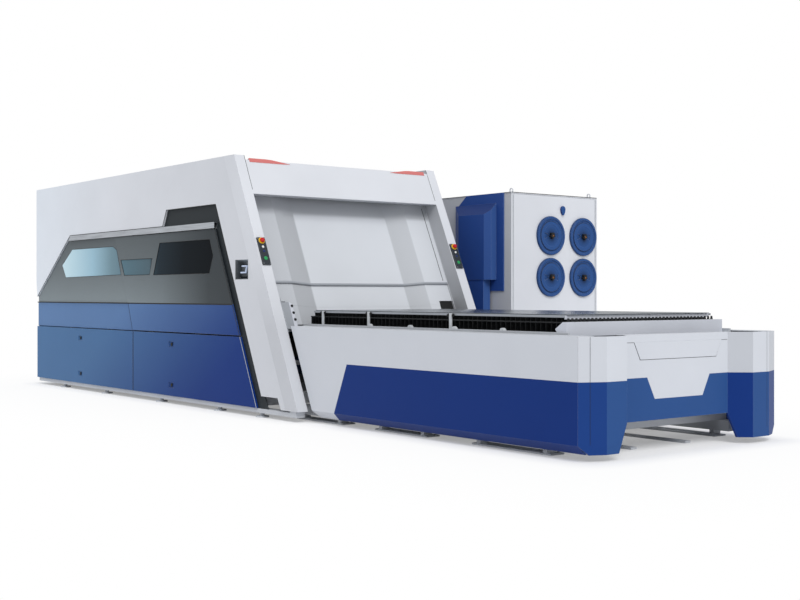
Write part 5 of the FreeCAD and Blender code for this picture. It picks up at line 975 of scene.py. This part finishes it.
class CUTTER_OT_fasteners(bpy.types.Operator):
    """Bolts of the floor plates and pallet brackets, and screws of the plates and outer sheets"""

    bl_idname = "cutter.fasteners"
    bl_label = "Fasteners"

    def execute(self, context):
        sizes = context.scene.cutter_sizes
        self.plates(sizes)
        self.brackets(sizes.bolt_size)
        self.outer_sheets(sizes.screw_size)
        return {"FINISHED"}

    def plates(self, sizes):
        across_floor, floor_sheet = 0.816, 0.012
        floor = [at(x, across_floor * side, floor_sheet) for side in SIDES
                 for x in (5.37, 5.99, 6.49, 7.07, 7.64, 8.35)]
        hex_bolts("floor_plate_bolts", floor, UPRIGHT, sizes.bolt_size)
        top = along_front(1.556)
        control = [on_front(0.014, middle + aside, top - drop) for middle in (-1.101, 1.101)
                   for aside in (-0.032, 0.032) for drop in (0.01, 0.252)]
        socket_screws("control_plate_screws", control, LEAN_OUT, sizes.screw_size)

    def brackets(self, size):
        pallet_low, pallet_high = (Vector(corner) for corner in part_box("upper_pallet"))
        first, bolt_face, below_top, half_pitch = 0.194, 0.7905, 0.016, 0.028
        for name, side in (("near_bracket_bolts", -1), ("far_bracket_bolts", 1)):
            places = []
            for station in BRACKET_STATIONS:
                middle = pallet_low.x + first + station - BRACKET_STATIONS[0]
                places += [Vector((middle + shift, bolt_face * side - DATUM.y, pallet_high.z - below_top))
                           for shift in (-half_pitch, half_pitch)]
            hex_bolts(name, places, TO_OPERATOR * -side, size, "black_moulded_plastic",
                      "upper_exchange_pallet")

    def outer_sheets(self, size):
        rear = [at(0.0, y / 4, z) for y in range(-4, 5) for z in (0.16, 1.13)]
        socket_screws("rear_cover_screws", rear, -DOWN_LINE, size)
        far = [at(0.15 + 0.6 * i, -CABIN_SIDE, z) for i in range(8) for z in (1.1, 0.76)]
        socket_screws("far_side_screws", far, -TO_OPERATOR, size)


class CUTTER_OT_stage(bpy.types.Operator):
    """Pale floor, even sky, soft key light and the camera at the photograph's angle"""

    bl_idname = "cutter.stage"
    bl_label = "Studio stage"

    def execute(self, context):
        studio = context.scene.studio_settings
        self.lay_floor()
        self.light(context, studio)
        self.aim_camera(context, studio)
        context.scene.view_settings.view_transform = "Standard"
        return {"FINISHED"}

    def lay_floor(self):
        """A floor that fades into white with its distance from the machine, and that catches its shadow."""
        look = Look("pale_studio_floor", "MixShader")
        gaps = []
        for low, high in ((at(0.0, -1.1, 0), at(5.6, 1.1, 0)), (at(5.3, -1.0, 0), at(8.8, 1.0, 0)),
                          (at(4.1, 1.5, 0), at(5.4, 2.7, 0))):
            outside = look.beyond_box((low + high) / 2, (high - low) / 2)
            clear_of_it = look.node("VectorMath", (outside, (0, 0, 0)), operation="MAXIMUM")
            gaps.append(look.node("VectorMath", (clear_of_it,), "Value", operation="LENGTH"))
        nearer = look.node("Math", gaps[:2], operation="MINIMUM")
        nearest = look.node("Math", (nearer, gaps[2]), operation="MINIMUM")
        near, far = 0.25, 2.0
        near_fade = look.node("MapRange", {"Value": nearest, "From Max": near, "To Min": 0.3, "To Max": 0.87})
        far_fade = look.node("MapRange", {"Value": nearest, "From Min": near, "From Max": far, "To Max": 0.13})
        fade = look.node("Math", (near_fade, far_fade), operation="ADD")
        ray = look.node("LightPath").node.outputs
        straight = look.node("Math", (ray["Is Camera Ray"], ray["Is Glossy Ray"]), operation="MAXIMUM")
        clear = look.node("Math", (straight, ray["Is Transmission Ray"]), operation="MAXIMUM")
        weight = look.node("Math", (fade, clear), operation="MULTIPLY")
        paint = look.node("BsdfDiffuse", {"Color": (0.96, 0.96, 0.97)})
        glow = look.node("Emission", {"Color": WHITE, "Strength": 1.0})
        fill(look.surface, {0: weight, 1: paint, 2: glow})

        reach = 60.0
        mesh = bpy.data.meshes.new("studio_floor")
        corners = rectangle(lambda x, y: (x, y, 0), (-reach, -reach), (reach, reach))
        mesh.from_pydata(corners, [], [(0, 1, 2, 3)])
        floor = new_object("studio_floor", mesh)
        mesh.materials.append(look.material)

    def light(self, context, studio):
        world = bpy.data.worlds.new("studio_sky")
        context.scene.world = world
        tree = empty_tree(world)
        sky = add_node(tree, "Background", {"Color": (0.95, 0.97, 1.0), "Strength": studio.sky_level})
        backdrop = add_node(tree, "Background", {"Color": WHITE, "Strength": 1.0})
        seen = add_node(tree, "LightPath", out="Is Camera Ray")
        add_node(tree, "OutputWorld", (add_node(tree, "MixShader", (seen, sky, backdrop)),))

        lamp = bpy.data.lights.new("soft_key", "SUN")
        lamp.energy = studio.sun_level
        lamp.angle = math.radians(28)
        self.aim(new_object("soft_key", lamp), Vector((0.66, -0.30, 0.70)), "Z")

    def aim_camera(self, context, studio):
        lens = bpy.data.cameras.new("photo_camera")
        lens.sensor_width = 36
        lens.lens = studio.focal_length
        lens.shift_y = -0.00629
        lens.clip_end = 200
        camera = new_object("photo_camera", lens)
        turn = math.radians(38.0655)
        camera.location = at(13.979, -6.569, 1.06)
        self.aim(camera, Vector((-math.cos(turn), math.sin(turn), 0)), "-Z")
        context.scene.camera = camera

    def aim(self, item, direction, axis):
        """Turn an axis of a lamp or camera along a direction."""
        item.rotation_mode = "QUATERNION"
        item.rotation_quaternion = direction.to_track_quat(axis, "Y")


OPERATORS = [
    CUTTER_OT_finishes, CUTTER_OT_window_gaskets, CUTTER_OT_edge_trims, CUTTER_OT_shutter_ridge,
    CUTTER_OT_mouth_seals, CUTTER_OT_pallet_fittings, CUTTER_OT_seam_lines, CUTTER_OT_filter_trims,
    CUTTER_OT_display_fittings, CUTTER_OT_fasteners, CUTTER_OT_stage]


class CUTTER_PT_panel(bpy.types.Panel):
    """Sidebar panel with the machine's making steps"""

    bl_idname = "CUTTER_PT_panel"
    bl_label = "Laser cutting machine"
    bl_space_type = "VIEW_3D"
    bl_region_type = "UI"
    bl_category = "Laser Cutter"

    def draw(self, context):
        for operator in OPERATORS:
            self.layout.operator(operator.bl_idname)
        for group in (getattr(context.scene, name) for name in GROUPS):
            for name in group.__annotations__:
                self.layout.prop(group, name)


GROUPS = {"cutter_colours": CutterColours, "cutter_sizes": CutterSizes, "studio_settings": StudioSettings}


CLASSES = [*GROUPS.values(), *OPERATORS, CUTTER_PT_panel]


def register():
    for kind in CLASSES:
        bpy.utils.register_class(kind)
    for name, group in GROUPS.items():
        setattr(bpy.types.Scene, name, PointerProperty(type=group))


def unregister():
    for name in GROUPS:
        delattr(bpy.types.Scene, name)
    for kind in reversed(CLASSES):
        bpy.utils.unregister_class(kind)


def main():
    register()
    for operator in OPERATORS:
        group, name = operator.bl_idname.split(".")
        getattr(getattr(bpy.ops, group), name)()


if __name__ == "__main__":
    main()
